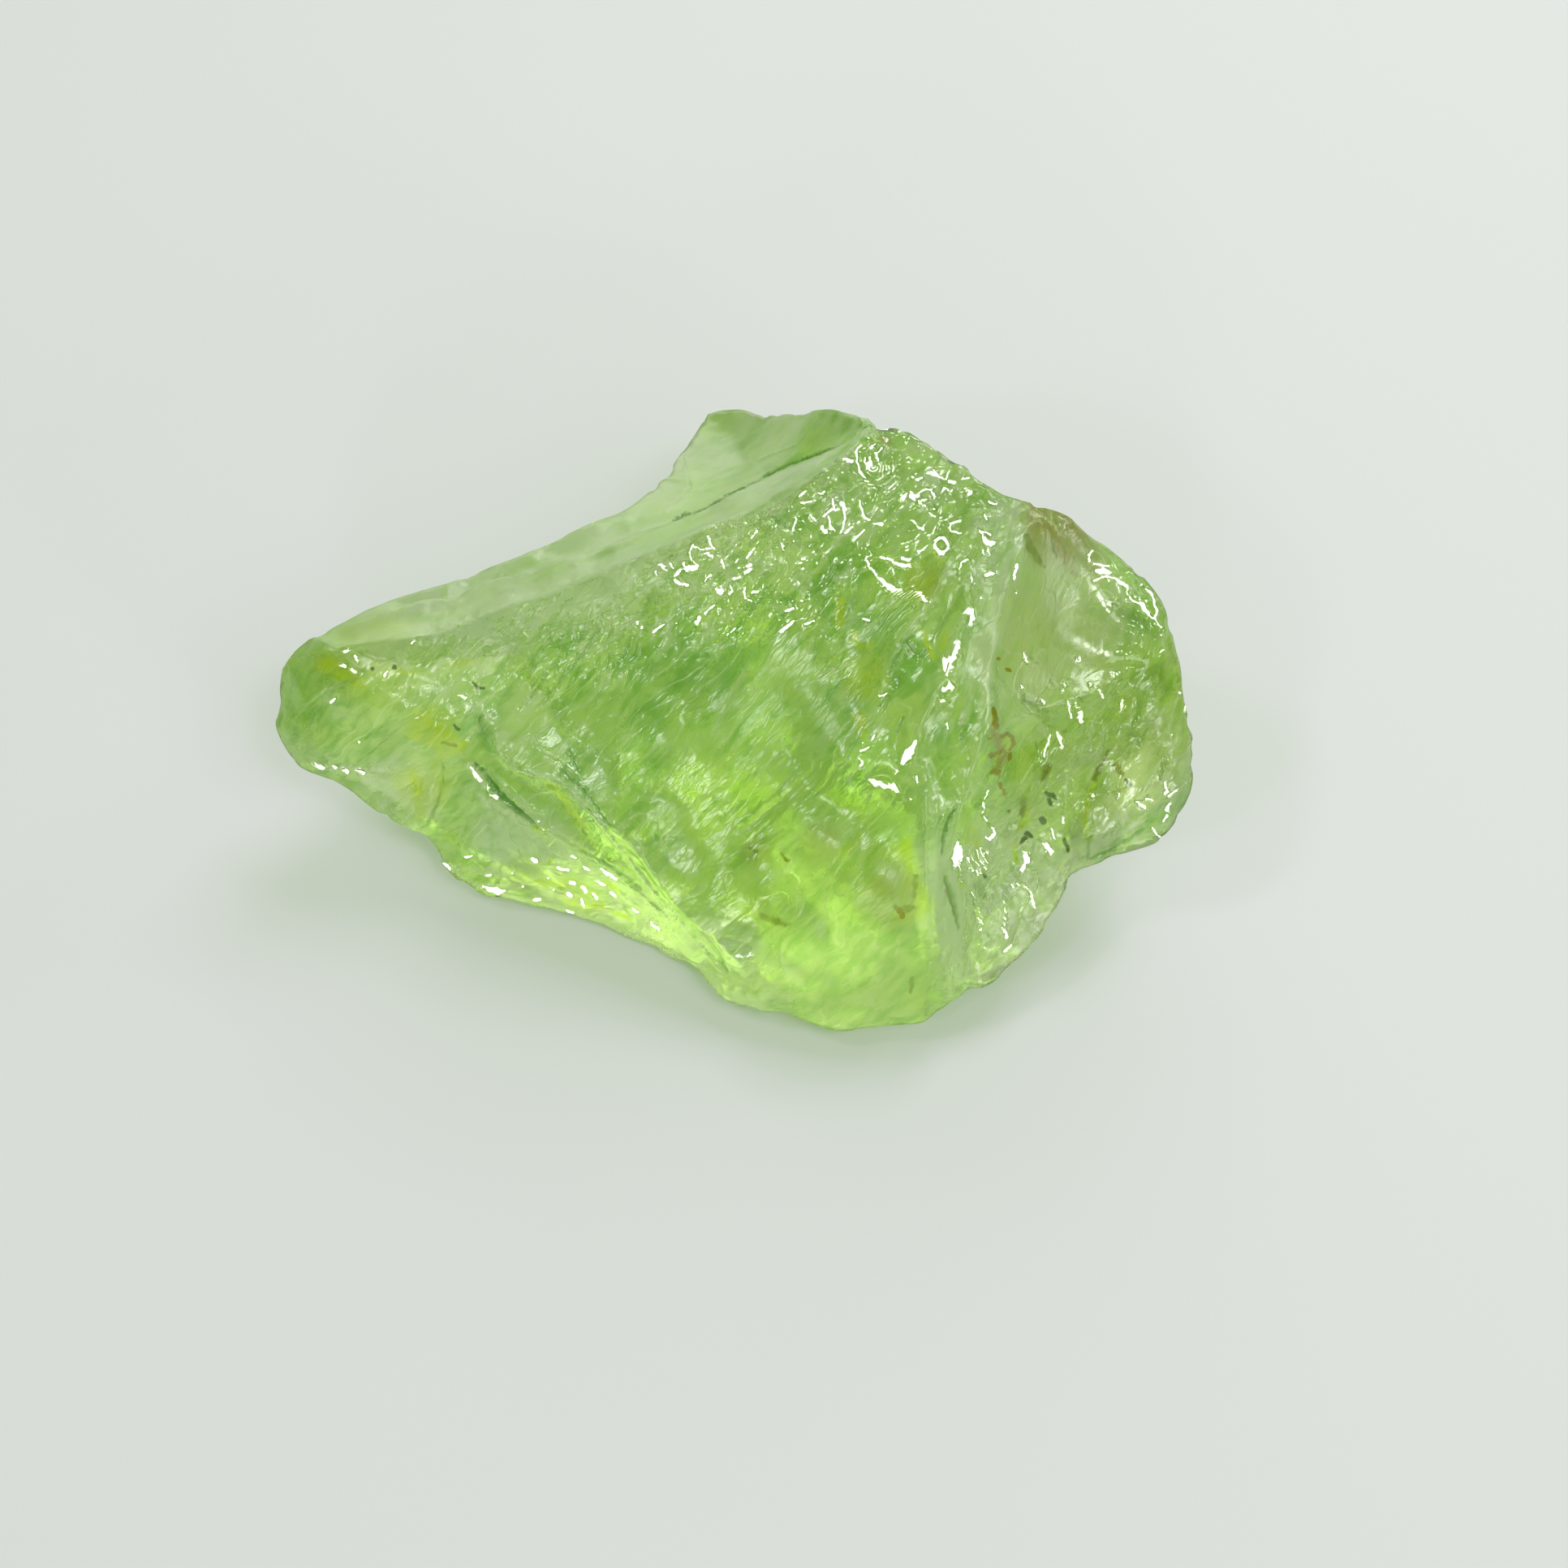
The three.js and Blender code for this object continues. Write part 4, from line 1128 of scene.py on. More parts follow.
def relief_tree():
    tree = bpy.data.node_groups.new("fracture_relief", "GeometryNodeTree")
    tree.interface.new_socket("Geometry", in_out="INPUT", socket_type="NodeSocketGeometry")
    for name, value in RELIEF.items():
        socket = tree.interface.new_socket(name, in_out="INPUT", socket_type="NodeSocketFloat")
        socket.default_value = value
    tree.interface.new_socket("Geometry", in_out="OUTPUT", socket_type="NodeSocketGeometry")
    given = tree.nodes.new("NodeGroupInput").outputs
    place = scaled(tree, add(tree, "GeometryNodeInputPosition").outputs[0], 1 / MM)
    where = bent(tree, place, WARP_SCALE, WARP_REACH)

    strength = attribute(tree, "scallops")
    broad = maths(tree, "MULTIPLY", bowls(tree, where, given["Broad Width"]), given["Broad Depth"])
    fine = maths(tree, "MULTIPLY", bowls(tree, where, given["Fine Width"]), given["Fine Depth"])
    chipped = maths(tree, "MULTIPLY", maths(tree, "ADD", broad, fine), strength)

    nick_scale = maths(tree, "DIVIDE", 1.0, given["Nick Width"])
    grain = add(tree, "ShaderNodeTexNoise", {"Vector": place, "Scale": nick_scale, "Detail": 1.0})
    nicked = ramp(tree, grain.outputs["Fac"], NICK_FROM, NICK_TO)
    depth = maths(tree, "MULTIPLY", given["Nick Depth"], attribute(tree, "ridge"))
    height = maths(tree, "SUBTRACT", chipped, maths(tree, "MULTIPLY", nicked, depth))

    up = add(tree, "ShaderNodeSeparateXYZ", {0: place}).outputs["Z"]
    faded = maths(tree, "MULTIPLY", height, ramp(tree, up, 0.0, given["Sole Fade"]))
    normal = add(tree, "GeometryNodeInputNormal").outputs[0]
    offset = scaled(tree, normal, maths(tree, "MULTIPLY", faded, MM))
    moved = {"Geometry": given["Geometry"], "Offset": offset}
    carved = add(tree, "GeometryNodeSetPosition", moved).outputs[0]
    add(tree, "NodeGroupOutput", {"Geometry": carved})
    return tree


relief = stone.modifiers.new("relief", "NODES")
relief.node_group = relief_tree()
baked(stone)
print("carved points:", len(stone.data.vertices))

# %% [markdown]
# Raise the ridges, cut the cracks
#
# Points inside a stroke are moved along their normals, up for a ridge and down for a crack, and made
# pale or dark: the pale is partly painted highlight, sheen and light, and the dark is painted shade. For
# the stains, how far inside a stroke each point lies is stored. It changes evenly from point to point, so
# that the material can draw the edge of a stain much finer than the mesh is.

# %% Work the ridges and cracks into the skin
# How far inside a stroke its tone begins and is full, and its height is full.
HALO = -0.3
FULL_TONE = 0.7
FULL_HEIGHT = 0.8


def worked(places, facing, pixels, lines, sign):
    """Places moved by the strokes of all lines, and the tone that the lines give each of them."""
    tones = np.zeros(len(places))
    for name, (height, strokes) in lines.items():
        inside = inside_any(pixels, strokes)
        places = places + facing * (sign * height * ease(inside, 0.0, FULL_HEIGHT))[:, None]
        tones = np.maximum(tones, TONES.get(name, COMMON_TONE) * ease(inside, HALO, FULL_TONE))
    return places, tones


places, facing = spots_of(stone.data), normals_of(stone.data)
pixels = wobbled(in_photo(places, facing))
places, ridge_pale_and_highlight = worked(places, facing, pixels, RIDGES, 1)
places, painted_crack_shade = worked(places, facing, pixels, CRACKS_AND_SHADE, -1)
put_back(stone.data, places)
for kind, strokes in STAINS.items():
    paint(stone.data, kind + "_marks", inside_any(pixels, strokes))
print("pale and dark points:", int((ridge_pale_and_highlight > 0).sum()), int((painted_crack_shade > 0).sum()))

# %% [markdown]
# Cut the glints' facets
#
# A flat break mirrors a lamp to the eye where it faces halfway between the two. So each facet's
# direction is worked out from its lamp, and its points are pressed towards the plane that faces
# that way. The direction is stored on the points as well, and the material shades the facet by it.

# %% Cut the facets
# A point moves by no more than this, in millimetres, and by all of it this far inside the facet.
PRESS_LIMIT = 0.05
FULL_PRESS = 0.4
# The skin is left as it is where the cosine between its direction and the facet's is less than this.
FACING_LEAST = 0.1
# How far inside a facet the skin begins to lose its fine relief, and has lost it.
POLISH = (-0.5, 0.1)


def halfway(places, lamp):
    """The direction at each place in which a facet mirrors the lamp to the camera."""
    azimuth, elevation, distance, size, radiance = LAMPS[lamp]
    lamp_place = direction(azimuth, elevation) * distance
    return unit(unit(lamp_place - places) + unit(CAMERA_MM - places))


def pressed(places, ways, inside):
    """Places moved towards the plane through the middle of a facet, by how far inside it they are."""
    kept = inside > 0
    if not kept.any():
        return places
    way = unit(ways[kept].mean(axis=0))
    lifted = np.clip((places - places[kept].mean(axis=0)) @ way, -PRESS_LIMIT, PRESS_LIMIT)
    return places - way * (lifted * ease(inside, 0.0, FULL_PRESS))[:, None]


places, facing = spots_of(stone.data), normals_of(stone.data)
pixels = wobbled(in_photo(places, facing))
glint = np.full(len(places), -1.0)
glint_ways = facing.copy()
for lamp, strokes in GLINTS.values():
    ways = halfway(places, lamp)
    turned = (ways * facing).sum(axis=1) > FACING_LEAST
    for path in strokes:
        for start, end in zip(path, path[1:] or path):
            inside = np.where(turned, inside_stroke(pixels, [start, end]), -1.0)
            places = pressed(places, ways, inside)
            stronger = inside > glint
            glint[stronger] = inside[stronger]
            glint_ways[stronger] = ways[stronger]
put_back(stone.data, places)
paint(stone.data, "glint", glint)
paint(stone.data, "polish", ease(glint, *POLISH))
layer = stone.data.attributes.new("glint_way", "FLOAT_VECTOR", "POINT")
layer.data.foreach_set("vector", glint_ways.astype(np.float32).ravel())
print("points on facets:", int((glint > 0).sum()))

# %% [markdown]
# Paint the colours
#
# The green isn't even. It is pale where the skin is bruised or thin, and where sheen and light are
# painted: painted sheen on the far slope, the crest and the upper right face, and painted light where the
# clear lower left, the toe and the basin let light through. In a band along the flank it is deep, as
# painted shade where the skin mirrors little light, and iron has tinted other parts yellow or brown. Each
# of the four is one painted number. One more number tells where the fracture runs down the right side
# instead of across the main face.

# %% Paint pale, deep, yellow and brown
PALE_GROUND = 0.08
PALE_SPOTS = [
    # The far slope and its crest, and the smooth upper right face: painted sheen.
    ((-3.4, 0.3, 2.9), 0.9, 0.7),
    ((-2.6, 0.5, 3.0), 0.9, 0.85),
    ((-1.6, 0.8, 3.2), 1.0, 0.95),
    ((-0.6, 1.2, 3.3), 1.0, 0.95),
    ((0.4, 1.5, 3.5), 0.7, 0.9),
    ((-0.5, 2.2, 2.6), 1.2, 0.65),
    ((0.4, 2.6, 2.6), 1.0, 0.65),
    ((3.4, 0.2, 3.2), 1.1, 0.85),
    ((2.9, -0.3, 3.1), 0.8, 0.6),
    ((2.90, 0.90, 3.75), 0.45, 0.6),
    ((2.80, 0.35, 3.60), 0.45, 0.6),
    # Toe, column, basin, right end and clear lower left: frosted skin and painted sheen and light.
    ((1.2, -2.9, 0.9), 1.1, 0.5),
    ((1.0, -2.0, 1.7), 0.8, 0.35),
    ((0.0, -2.8, 0.6), 0.9, 0.75),
    ((2.2, -2.3, 1.8), 0.8, 0.85),
    ((3.1, -2.0, 1.3), 1.1, 1.0),
    ((2.7, -2.5, 1.1), 0.9, 1.0),
    ((3.8, -1.3, 1.9), 0.9, 0.5),
    ((4.5, -0.9, 2.1), 0.8, 0.45),
    ((-3.6, -1.0, 1.4), 0.6, 0.8),
    ((-2.2, -1.5, 1.0), 0.9, 0.95),
    ((-1.6, -1.9, 0.5), 0.9, 1.0),
    ((-0.9, -2.2, 0.5), 0.8, 0.95),
    # The bright scalloped band and the peak as painted sheen, and bruises on the main face.
    ((-0.3, 0.7, 3.4), 0.7, 0.5),
    ((0.4, 0.8, 3.5), 0.6, 0.35),
    ((1.2, 1.2, 3.7), 0.6, 0.4),
    ((1.9, 1.3, 3.8), 0.8, 0.35),
    ((-1.73, -1.00, 2.05), 0.5, 0.3),
    ((-2.2, -0.6, 2.3), 0.5, 0.35),
    ((-2.9, -0.2, 2.6), 0.6, 0.3),
]
DEEP_GROUND = 0.25
DEEP_SPOTS = [
    # Painted shade in the middle of the main face and along the flank, which mirror little light.
    ((-1.73, -0.11, 2.58), 0.6, 0.6),
    ((-1.04, 0.02, 2.70), 0.7, 0.6),
    ((-0.35, -0.05, 2.80), 0.7, 0.7),
    ((0.25, 0.10, 3.00), 0.6, 0.6),
    ((1.01, 0.55, 3.30), 0.40, 0.8),
    ((1.18, 0.29, 3.26), 0.40, 0.7),
    ((1.68, -0.17, 3.22), 0.40, 0.8),
    ((1.43, -0.41, 2.95), 0.45, 0.6),
    ((1.93, -0.42, 3.15), 0.35, 0.7),
    # Painted shade below the right rim, in its hollow, and the wedge beside the keel.
    ((4.13, 0.19, 3.09), 0.30, 0.8),
    ((4.44, -0.35, 2.66), 0.40, 0.7),
    ((-2.62, -0.52, 2.22), 0.25, 0.7),
    ((-3.9, -0.4, 2.3), 0.7, 0.4),
    # The toe, the far slope, the upper right face, the basin and the window stay light.
    ((1.2, -2.9, 0.9), 1.2, 0.5),
    ((-0.5, 2.2, 2.6), 1.8, 0.1),
    ((3.4, 0.0, 3.2), 1.0, 0.0),
    ((3.0, -2.1, 1.3), 1.2, 0.0),
    ((-1.9, -1.8, 0.7), 1.0, 0.0),
    ((0.0, -1.7, 1.6), 1.0, 0.15),
    ((1.1, -1.9, 1.8), 0.8, 0.6),
]
YELLOW_SPOTS = [
    # The burst at the keel, the facet below it, and the clear lower left, where it is painted light.
    ((-3.38, -0.94, 1.45), 0.45, 0.6),
    ((-3.20, -0.64, 2.20), 0.35, 0.7),
    ((-3.05, -0.75, 1.97), 0.25, 1.0),
    ((-2.26, -1.65, 0.61), 0.35, 0.5),
    ((-1.70, -1.80, 0.50), 0.45, 0.6),
    # Patches left of the ring, on the flank and left of the rib.
    ((2.00, 0.37, 3.53), 0.30, 0.6),
    ((1.40, -0.41, 2.92), 0.35, 0.6),
    ((1.19, -1.72, 1.98), 0.50, 0.4),
    ((0.85, -2.11, 1.60), 0.50, 0.4),
    ((1.65, -2.21, 1.92), 0.40, 0.9),
    ((1.84, -2.47, 1.77), 0.35, 0.9),
    # The lower main face and the toe.
    ((0.55, -2.19, 1.35), 0.8, 0.4),
    ((0.25, -1.83, 1.60), 0.3, 0.8),
    ((1.45, -2.30, 1.75), 0.6, 0.5),
    ((0.2, -1.5, 1.8), 1.2, 0.2),
    ((1.2, -2.9, 0.9), 1.2, 0.2),
    # The right end and the upper nose.
    ((3.6, -1.0, 2.1), 1.2, 0.35),
    ((4.4, -0.6, 2.4), 1.0, 0.35),
    ((3.4, 0.0, 3.1), 1.0, 0.25),
    ((-3.7, -0.1, 2.7), 0.7, 0.4),
]
BROWN_SPOTS = [
    # The haze over the upper right face.
    ((3.38, 1.08, 3.56), 0.55, 1.0),
    ((3.50, 0.70, 3.45), 0.60, 0.85),
    ((3.4, 0.0, 3.1), 1.1, 0.2),
    # Left of the rib, in the lower main face, and in the haze left of the ring.
    ((1.70, -2.45, 1.75), 0.45, 0.35),
    ((0.90, -1.90, 1.90), 0.35, 0.45),
    ((0.25, -1.83, 1.60), 0.25, 0.35),
    ((2.00, 0.37, 3.53), 0.30, 0.3),
]
RIDGE_PALE = 0.25
# How far to the right, in millimetres, the run of the fracture begins to change, and has changed.
RIGHT_SIDE = (1.7, 2.7)

places, facing = spots_of(stone.data), normals_of(stone.data)
ridges = np.empty(len(places), np.float32)
stone.data.attributes["ridge"].data.foreach_get("value", ridges)
# Pale is partly bruised and frosted skin and partly painted sheen, highlight and light.
pale = blended(places, PALE_GROUND, PALE_SPOTS) + RIDGE_PALE * ridges
paint(stone.data, "pale", np.maximum(pale, ridge_pale_and_highlight))
# Cracks and shaded hollows deepen the green and darken it: painted shade.
paint(stone.data, "deep", blended(places, DEEP_GROUND, DEEP_SPOTS) + painted_crack_shade)
paint(stone.data, "shade", painted_crack_shade)
paint(stone.data, "yellow", blended(places, 0.0, YELLOW_SPOTS))
paint(stone.data, "brown", blended(places, 0.0, BROWN_SPOTS))
paint(stone.data, "right_side", ease(places[:, 0], *RIGHT_SIDE))
print("painted points:", len(places))

# %% [markdown]
# Relief finer than the mesh
#
# The finest glints on a broken stone come from chips a tenth of a millimetre wide. As mesh they would
# take millions of faces, so they are bumps: they turn the shine without moving the skin. The group below
# puts out a height in millimetres. Each Voronoi cell is a small bowl with a tilt of its own, so that
# every chip catches another part of the light. The cells are drawn out along the fracture's run: most
# of each place's run along it is taken away first, so that the pattern changes slowly that way.

# %% Group: chips too small for the mesh
TILT_SPREAD = 2.6
WALL_POWER = 3.0
CHIP_STRETCH = 0.5
# The distances from a chip's middle, as shares of its width, between which its rim rises.
CHIP_RIM = (0.35, 0.75)


def squeezed(tree, place, run, stretch):
    """A place with a share of its run along a direction taken away, which stretches what is read there."""
    back = maths(tree, "MULTIPLY", vectors(tree, "DOT_PRODUCT", place, run), -stretch)
    return vectors(tree, "ADD", place, scaled(tree, run, back))


def chips_group():
    inputs = {"Place": "vector", "Run": "vector", "Width": "float", "Depth": "float"}
    tree, given = new_group("tiny_chips", inputs, {"Height": "float", "Rim": "float", "Tone": "float"})
    where = squeezed(tree, given["Place"], given["Run"], CHIP_STRETCH)
    scale = maths(tree, "DIVIDE", 1.0, given["Width"])
    cell = add(tree, "ShaderNodeTexVoronoi", {"Vector": where, "Scale": scale}, feature="F1").outputs
    bowl = maths(tree, "POWER", cell["Distance"], WALL_POWER)
    arm = vectors(tree, "SUBTRACT", where, cell["Position"])
    lean = vectors(tree, "SUBTRACT", cell["Color"], (0.5, 0.5, 0.5))
    slope = maths(tree, "MULTIPLY", vectors(tree, "DOT_PRODUCT", arm, lean), scale)
    height = maths(tree, "MULTIPLY_ADD", slope, TILT_SPREAD, bowl)
    deep = maths(tree, "MULTIPLY", height, given["Depth"])
    tone = add(tree, "ShaderNodeSeparateColor", {0: cell["Color"]}).outputs["Green"]
    rim = ramp(tree, cell["Distance"], *CHIP_RIM)
    add(tree, "NodeGroupOutput", {"Height": deep, "Rim": rim, "Tone": tone})
    return tree


CHIPS = chips_group()
print("group inputs:", [i.name for i in CHIPS.interface.items_tree if i.in_out == "INPUT"])

# %% [markdown]
# Streaks, hackles and ripples
#
# A fracture leaves fine streaks along its run, and low steps called hackles, steep on one side like
# the teeth of a saw. Both are read from a noise that is stretched along the run. The streaks are
# the noise itself. The hackles are the teeth that come from counting it up in steps. Ripples spread in
# rings from where a blow fell, and show only in a patch of the skin.

# %% Groups: streaks, hackles and ripples
STREAK_STRETCH = 0.82
HACKLE_STRETCH = 0.75
HACKLE_STEPS = 7.0
# The share of each step after which it turns steep, and the range in which its edge shows pale.
STEEP_SHARE = 0.82
HACKLE_EDGE = (STEEP_SHARE - 0.1, 0.95)
# Ripples are full up to this share of their reach.
RIPPLE_CORE = 0.4


def streaks_group():
    inputs = {"Place": "vector", "Run": "vector", "Width": "float"}
    tree, given = new_group("fracture_streaks", inputs, {"Value": "float"})
    where = squeezed(tree, given["Place"], given["Run"], STREAK_STRETCH)
    scale = maths(tree, "DIVIDE", 1.0, given["Width"])
    noise = add(tree, "ShaderNodeTexNoise", {"Vector": where, "Scale": scale, "Detail": 3.0})
    add(tree, "NodeGroupOutput", {"Value": noise.outputs["Fac"]})
    return tree


def hackles_group():
    inputs = {"Place": "vector", "Run": "vector", "Width": "float", "Depth": "float"}
    tree, given = new_group("fracture_hackles", inputs, {"Height": "float", "Edge": "float"})
    where = squeezed(tree, given["Place"], given["Run"], HACKLE_STRETCH)
    scale = maths(tree, "DIVIDE", 1.0, given["Width"])
    noise = add(tree, "ShaderNodeTexNoise", {"Vector": where, "Scale": scale, "Detail": 1.0})
    tooth = maths(tree, "FRACT", maths(tree, "MULTIPLY", noise.outputs["Fac"], HACKLE_STEPS))
    rise = ramp(tree, tooth, STEEP_SHARE, 1.0)
    height = maths(tree, "MULTIPLY", maths(tree, "SUBTRACT", rise, tooth), given["Depth"])
    add(tree, "NodeGroupOutput", {"Height": height, "Edge": ramp(tree, tooth, *HACKLE_EDGE)})
    return tree


def ripples_group():
    inputs = {"Place": "vector", "Blow": "vector", "Patch": "vector"}
    inputs.update({"Reach": "float", "Spacing": "float", "Depth": "float"})
    tree, given = new_group("blow_ripples", inputs, {"Height": "float"})
    away = vectors(tree, "DISTANCE", given["Place"], given["Blow"])
    turns = maths(tree, "MULTIPLY", maths(tree, "DIVIDE", away, given["Spacing"]), 2 * math.pi)
    wave = maths(tree, "MULTIPLY", maths(tree, "SINE", turns), given["Depth"])
    off = maths(tree, "DIVIDE", vectors(tree, "DISTANCE", given["Place"], given["Patch"]), given["Reach"])
    mask = ramp(tree, off, 1.0, RIPPLE_CORE)
    add(tree, "NodeGroupOutput", {"Height": maths(tree, "MULTIPLY", wave, mask)})
    return tree


STREAKS = streaks_group()
HACKLES = hackles_group()
RIPPLES = ripples_group()
# Ripples: where the blow fell, the patch that shows them, its reach, their spacing and depth, in mm.
RIPPLE_PATCHES = [
    ((1.47, 1.54, 3.87), (1.62, 1.42, 3.76), 0.34, 0.07, 0.0012),
    ((-2.0, 2.0, 2.5), (0.40, -1.35, 1.95), 1.00, 0.13, 0.003),
    ((-3.5, 1.5, 2.5), (-1.40, 0.0, 2.60), 0.70, 0.09, 0.004),
    ((2.6, -0.9, 3.2), (1.75, 0.05, 3.35), 0.35, 0.07, 0.004),
    ((5.5, 0.5, 1.0), (2.70, -2.20, 1.40), 0.70, 0.11, 0.003),
]
print("groups:", STREAKS.name, HACKLES.name, RIPPLES.name)

# %% [markdown]
# Painted values in a material
#
# Stains in a rough stone have ragged borders. A material reads what was painted on the skin's points by
# its name. Paint between points is smooth, so a little noise, the fray, is added to it before it is cut
# off. That roughens the border without more points.

# %% Read the painted values
# How far inside a stroke its mark is full: less is a sharper edge.
GLINT_EDGE = 0.15
STAIN_EDGES = {"yellow": 0.9, "brown": 0.9, "olive": 0.8, "rust": 0.4, "speck": 0.3}


def new_material(name):
    """A material with nothing but its output node."""
    material = bpy.data.materials.new(name)
    material.use_nodes = True
    material.node_tree.nodes.clear()
    return material, material.node_tree


def painted(tree, name):
    """A number painted on the skin's points, in a material."""
    return add(tree, "ShaderNodeAttribute", attribute_name=name).outputs["Fac"]


def unpolished(tree):
    """0 on the facets of the glints, which are smooth, and 1 elsewhere."""
    return maths(tree, "SUBTRACT", 1.0, painted(tree, "polish"))


def marked(tree, name, fray, edge):
    """A mask of painted strokes, with a frayed border that is as soft as the edge."""
    inside = maths(tree, "ADD", painted(tree, name), fray)
    return ramp(tree, inside, 0.0, edge)


def stained(tree, kind, fray):
    """A mask of the strokes of one kind of stain."""
    return marked(tree, kind + "_marks", fray, STAIN_EDGES[kind])


print("kinds of stain:", list(STAIN_EDGES))

# %% [markdown]
# All the fine relief
#
# A fracture runs another way on each side of the stone, so the streaks are worked out once for each run
# and blended by what was painted. Chips, streaks and hackles fade out on the facets of the glints, which
# are smooth, while the ripples stay.

# %% Add up the fine relief
# The run of the fracture across the main face, down the right side and along the back slope.
RUNS = {
    "main": (0.66, 0.58, 0.48),
    "right_side": (0.37, 0.82, 0.43),
    "back_slope": (0.93, 0.31, 0.21),
}
STREAK_WIDTHS = {"main": 0.09, "right_side": 0.09, "back_slope": 0.22}
# Widths and depths of the fine relief, in millimetres. Streaks are deepest where the skin is frosted.
LARGE_CHIPS = {"Width": 0.24, "Depth": 0.046}
SMALL_CHIPS = {"Width": 0.10, "Depth": 0.018}
LOW_STEPS = {"Width": 0.45, "Depth": 0.005}
STREAK_DEPTHS = (0.007, 0.018)
# The share of the streaks' and hackles' depth that is left on the back slope.
BACK_RELIEF = 0.35


def ripples_height(tree, place):
    """Heights of all ripples, in millimetres."""
    heights = []
    for blow, patch, reach, spacing, depth in RIPPLE_PATCHES:
        feeds = {"Place": place, "Blow": blow, "Patch": patch}
        feeds.update({"Reach": reach, "Spacing": spacing, "Depth": depth})
        heights.append(placed(tree, RIPPLES, **feeds)["Height"])
    return total(tree, heights)


def streak_value(tree, place):
    """Streaks that follow each part's own run."""
    values = {}
    for name, run in RUNS.items():
        values[name] = placed(tree, STREAKS, Place=place, Run=run, Width=STREAK_WIDTHS[name])["Value"]
    value = between(tree, painted(tree, "right_side"), values["main"], values["right_side"])
    return between(tree, painted(tree, "back_slope"), value, values["back_slope"])


def skin_relief(tree, place, streaks):
    """The height of all fine relief in millimetres, and the chips that the colours read too."""
    strength, frost = painted(tree, "scallops"), painted(tree, "frost")
    large = placed(tree, CHIPS, Place=place, Run=RUNS["main"], **LARGE_CHIPS)
    small = placed(tree, CHIPS, Place=place, Run=RUNS["main"], **SMALL_CHIPS)
    hackles = placed(tree, HACKLES, Place=place, Run=RUNS["main"], **LOW_STEPS)
    chips = maths(tree, "ADD", large["Height"], small["Height"])
    calm = ramp(tree, painted(tree, "back_slope"), 0.0, 1.0, 1.0, BACK_RELIEF)
    streak_depth = maths(tree, "MULTIPLY", ramp(tree, frost, 0.0, 1.0, *STREAK_DEPTHS), calm)
    height = maths(tree, "MULTIPLY_ADD", chips, strength, maths(tree, "MULTIPLY", hackles["Height"], calm))
    height = maths(tree, "MULTIPLY_ADD", streaks, streak_depth, height)
    height = maths(tree, "MULTIPLY_ADD", height, unpolished(tree), ripples_height(tree, place))
    return height, large, small, hackles["Edge"]


print("runs of the fracture:", list(RUNS))

# %% [markdown]
# The skin's colours
#
# The green isn't even: it is deeper along some streaks and in some clouds. The rims of the chips are
# nearly white, and the pale paint and the steep edges of the hackles make it paler too, partly as broken,
# bruised skin and partly as painted sheen and highlight, which leaves the middle of each chip's bowl
# deeper as painted shade. The painted shade of cracks and hollows darkens it. Stains lie over that,
# patchy for yellow, brown and olive, and solid for rust and specks. All of it is one chain of mixes,
# because each layer covers what is under it.

# %% Colour the skin
GREEN = (0.64, 0.90, 0.21, 1.0)
DEEP = (0.28, 0.61, 0.07, 1.0)
PALE = (0.97, 1.0, 0.84, 1.0)
# SHADE is painted shade, for the dark of cracks and hollows.
SHADE = (0.08, 0.24, 0.03, 1.0)
YELLOW = (0.80, 0.92, 0.03, 1.0)
BROWN = (0.54, 0.36, 0.13, 1.0)
OLIVE = (0.25, 0.26, 0.0, 1.0)
RUST = (0.42, 0.27, 0.0, 1.0)
SPECK = (0.10, 0.15, 0.04, 1.0)
CLOUD_SCALE = 1.7
# How far streaks, chips and clouds each shift the green between light and deep.
SHIFT = 0.35
# What streaks and clouds change: from this noise to that one, the change goes from here to there.
STREAK_DEEP = (0.32, 0.68, SHIFT, -SHIFT)
CLOUD_DEEP = (0.3, 0.7, -SHIFT, SHIFT)
STREAK_PALENESS = (0.35, 0.60, 0.6, 1.15)
CLOUD_STAINS = (0.35, 0.65, 0.5, 0.8)
STREAK_STAINS = (0.35, 0.65, 0.0, 0.3)
# Chips' rims and hackles' steep edges are painted pale: partly bruised skin, partly painted highlight.
RIM_PALENESS = 0.7
STEP_PALENESS = 0.22


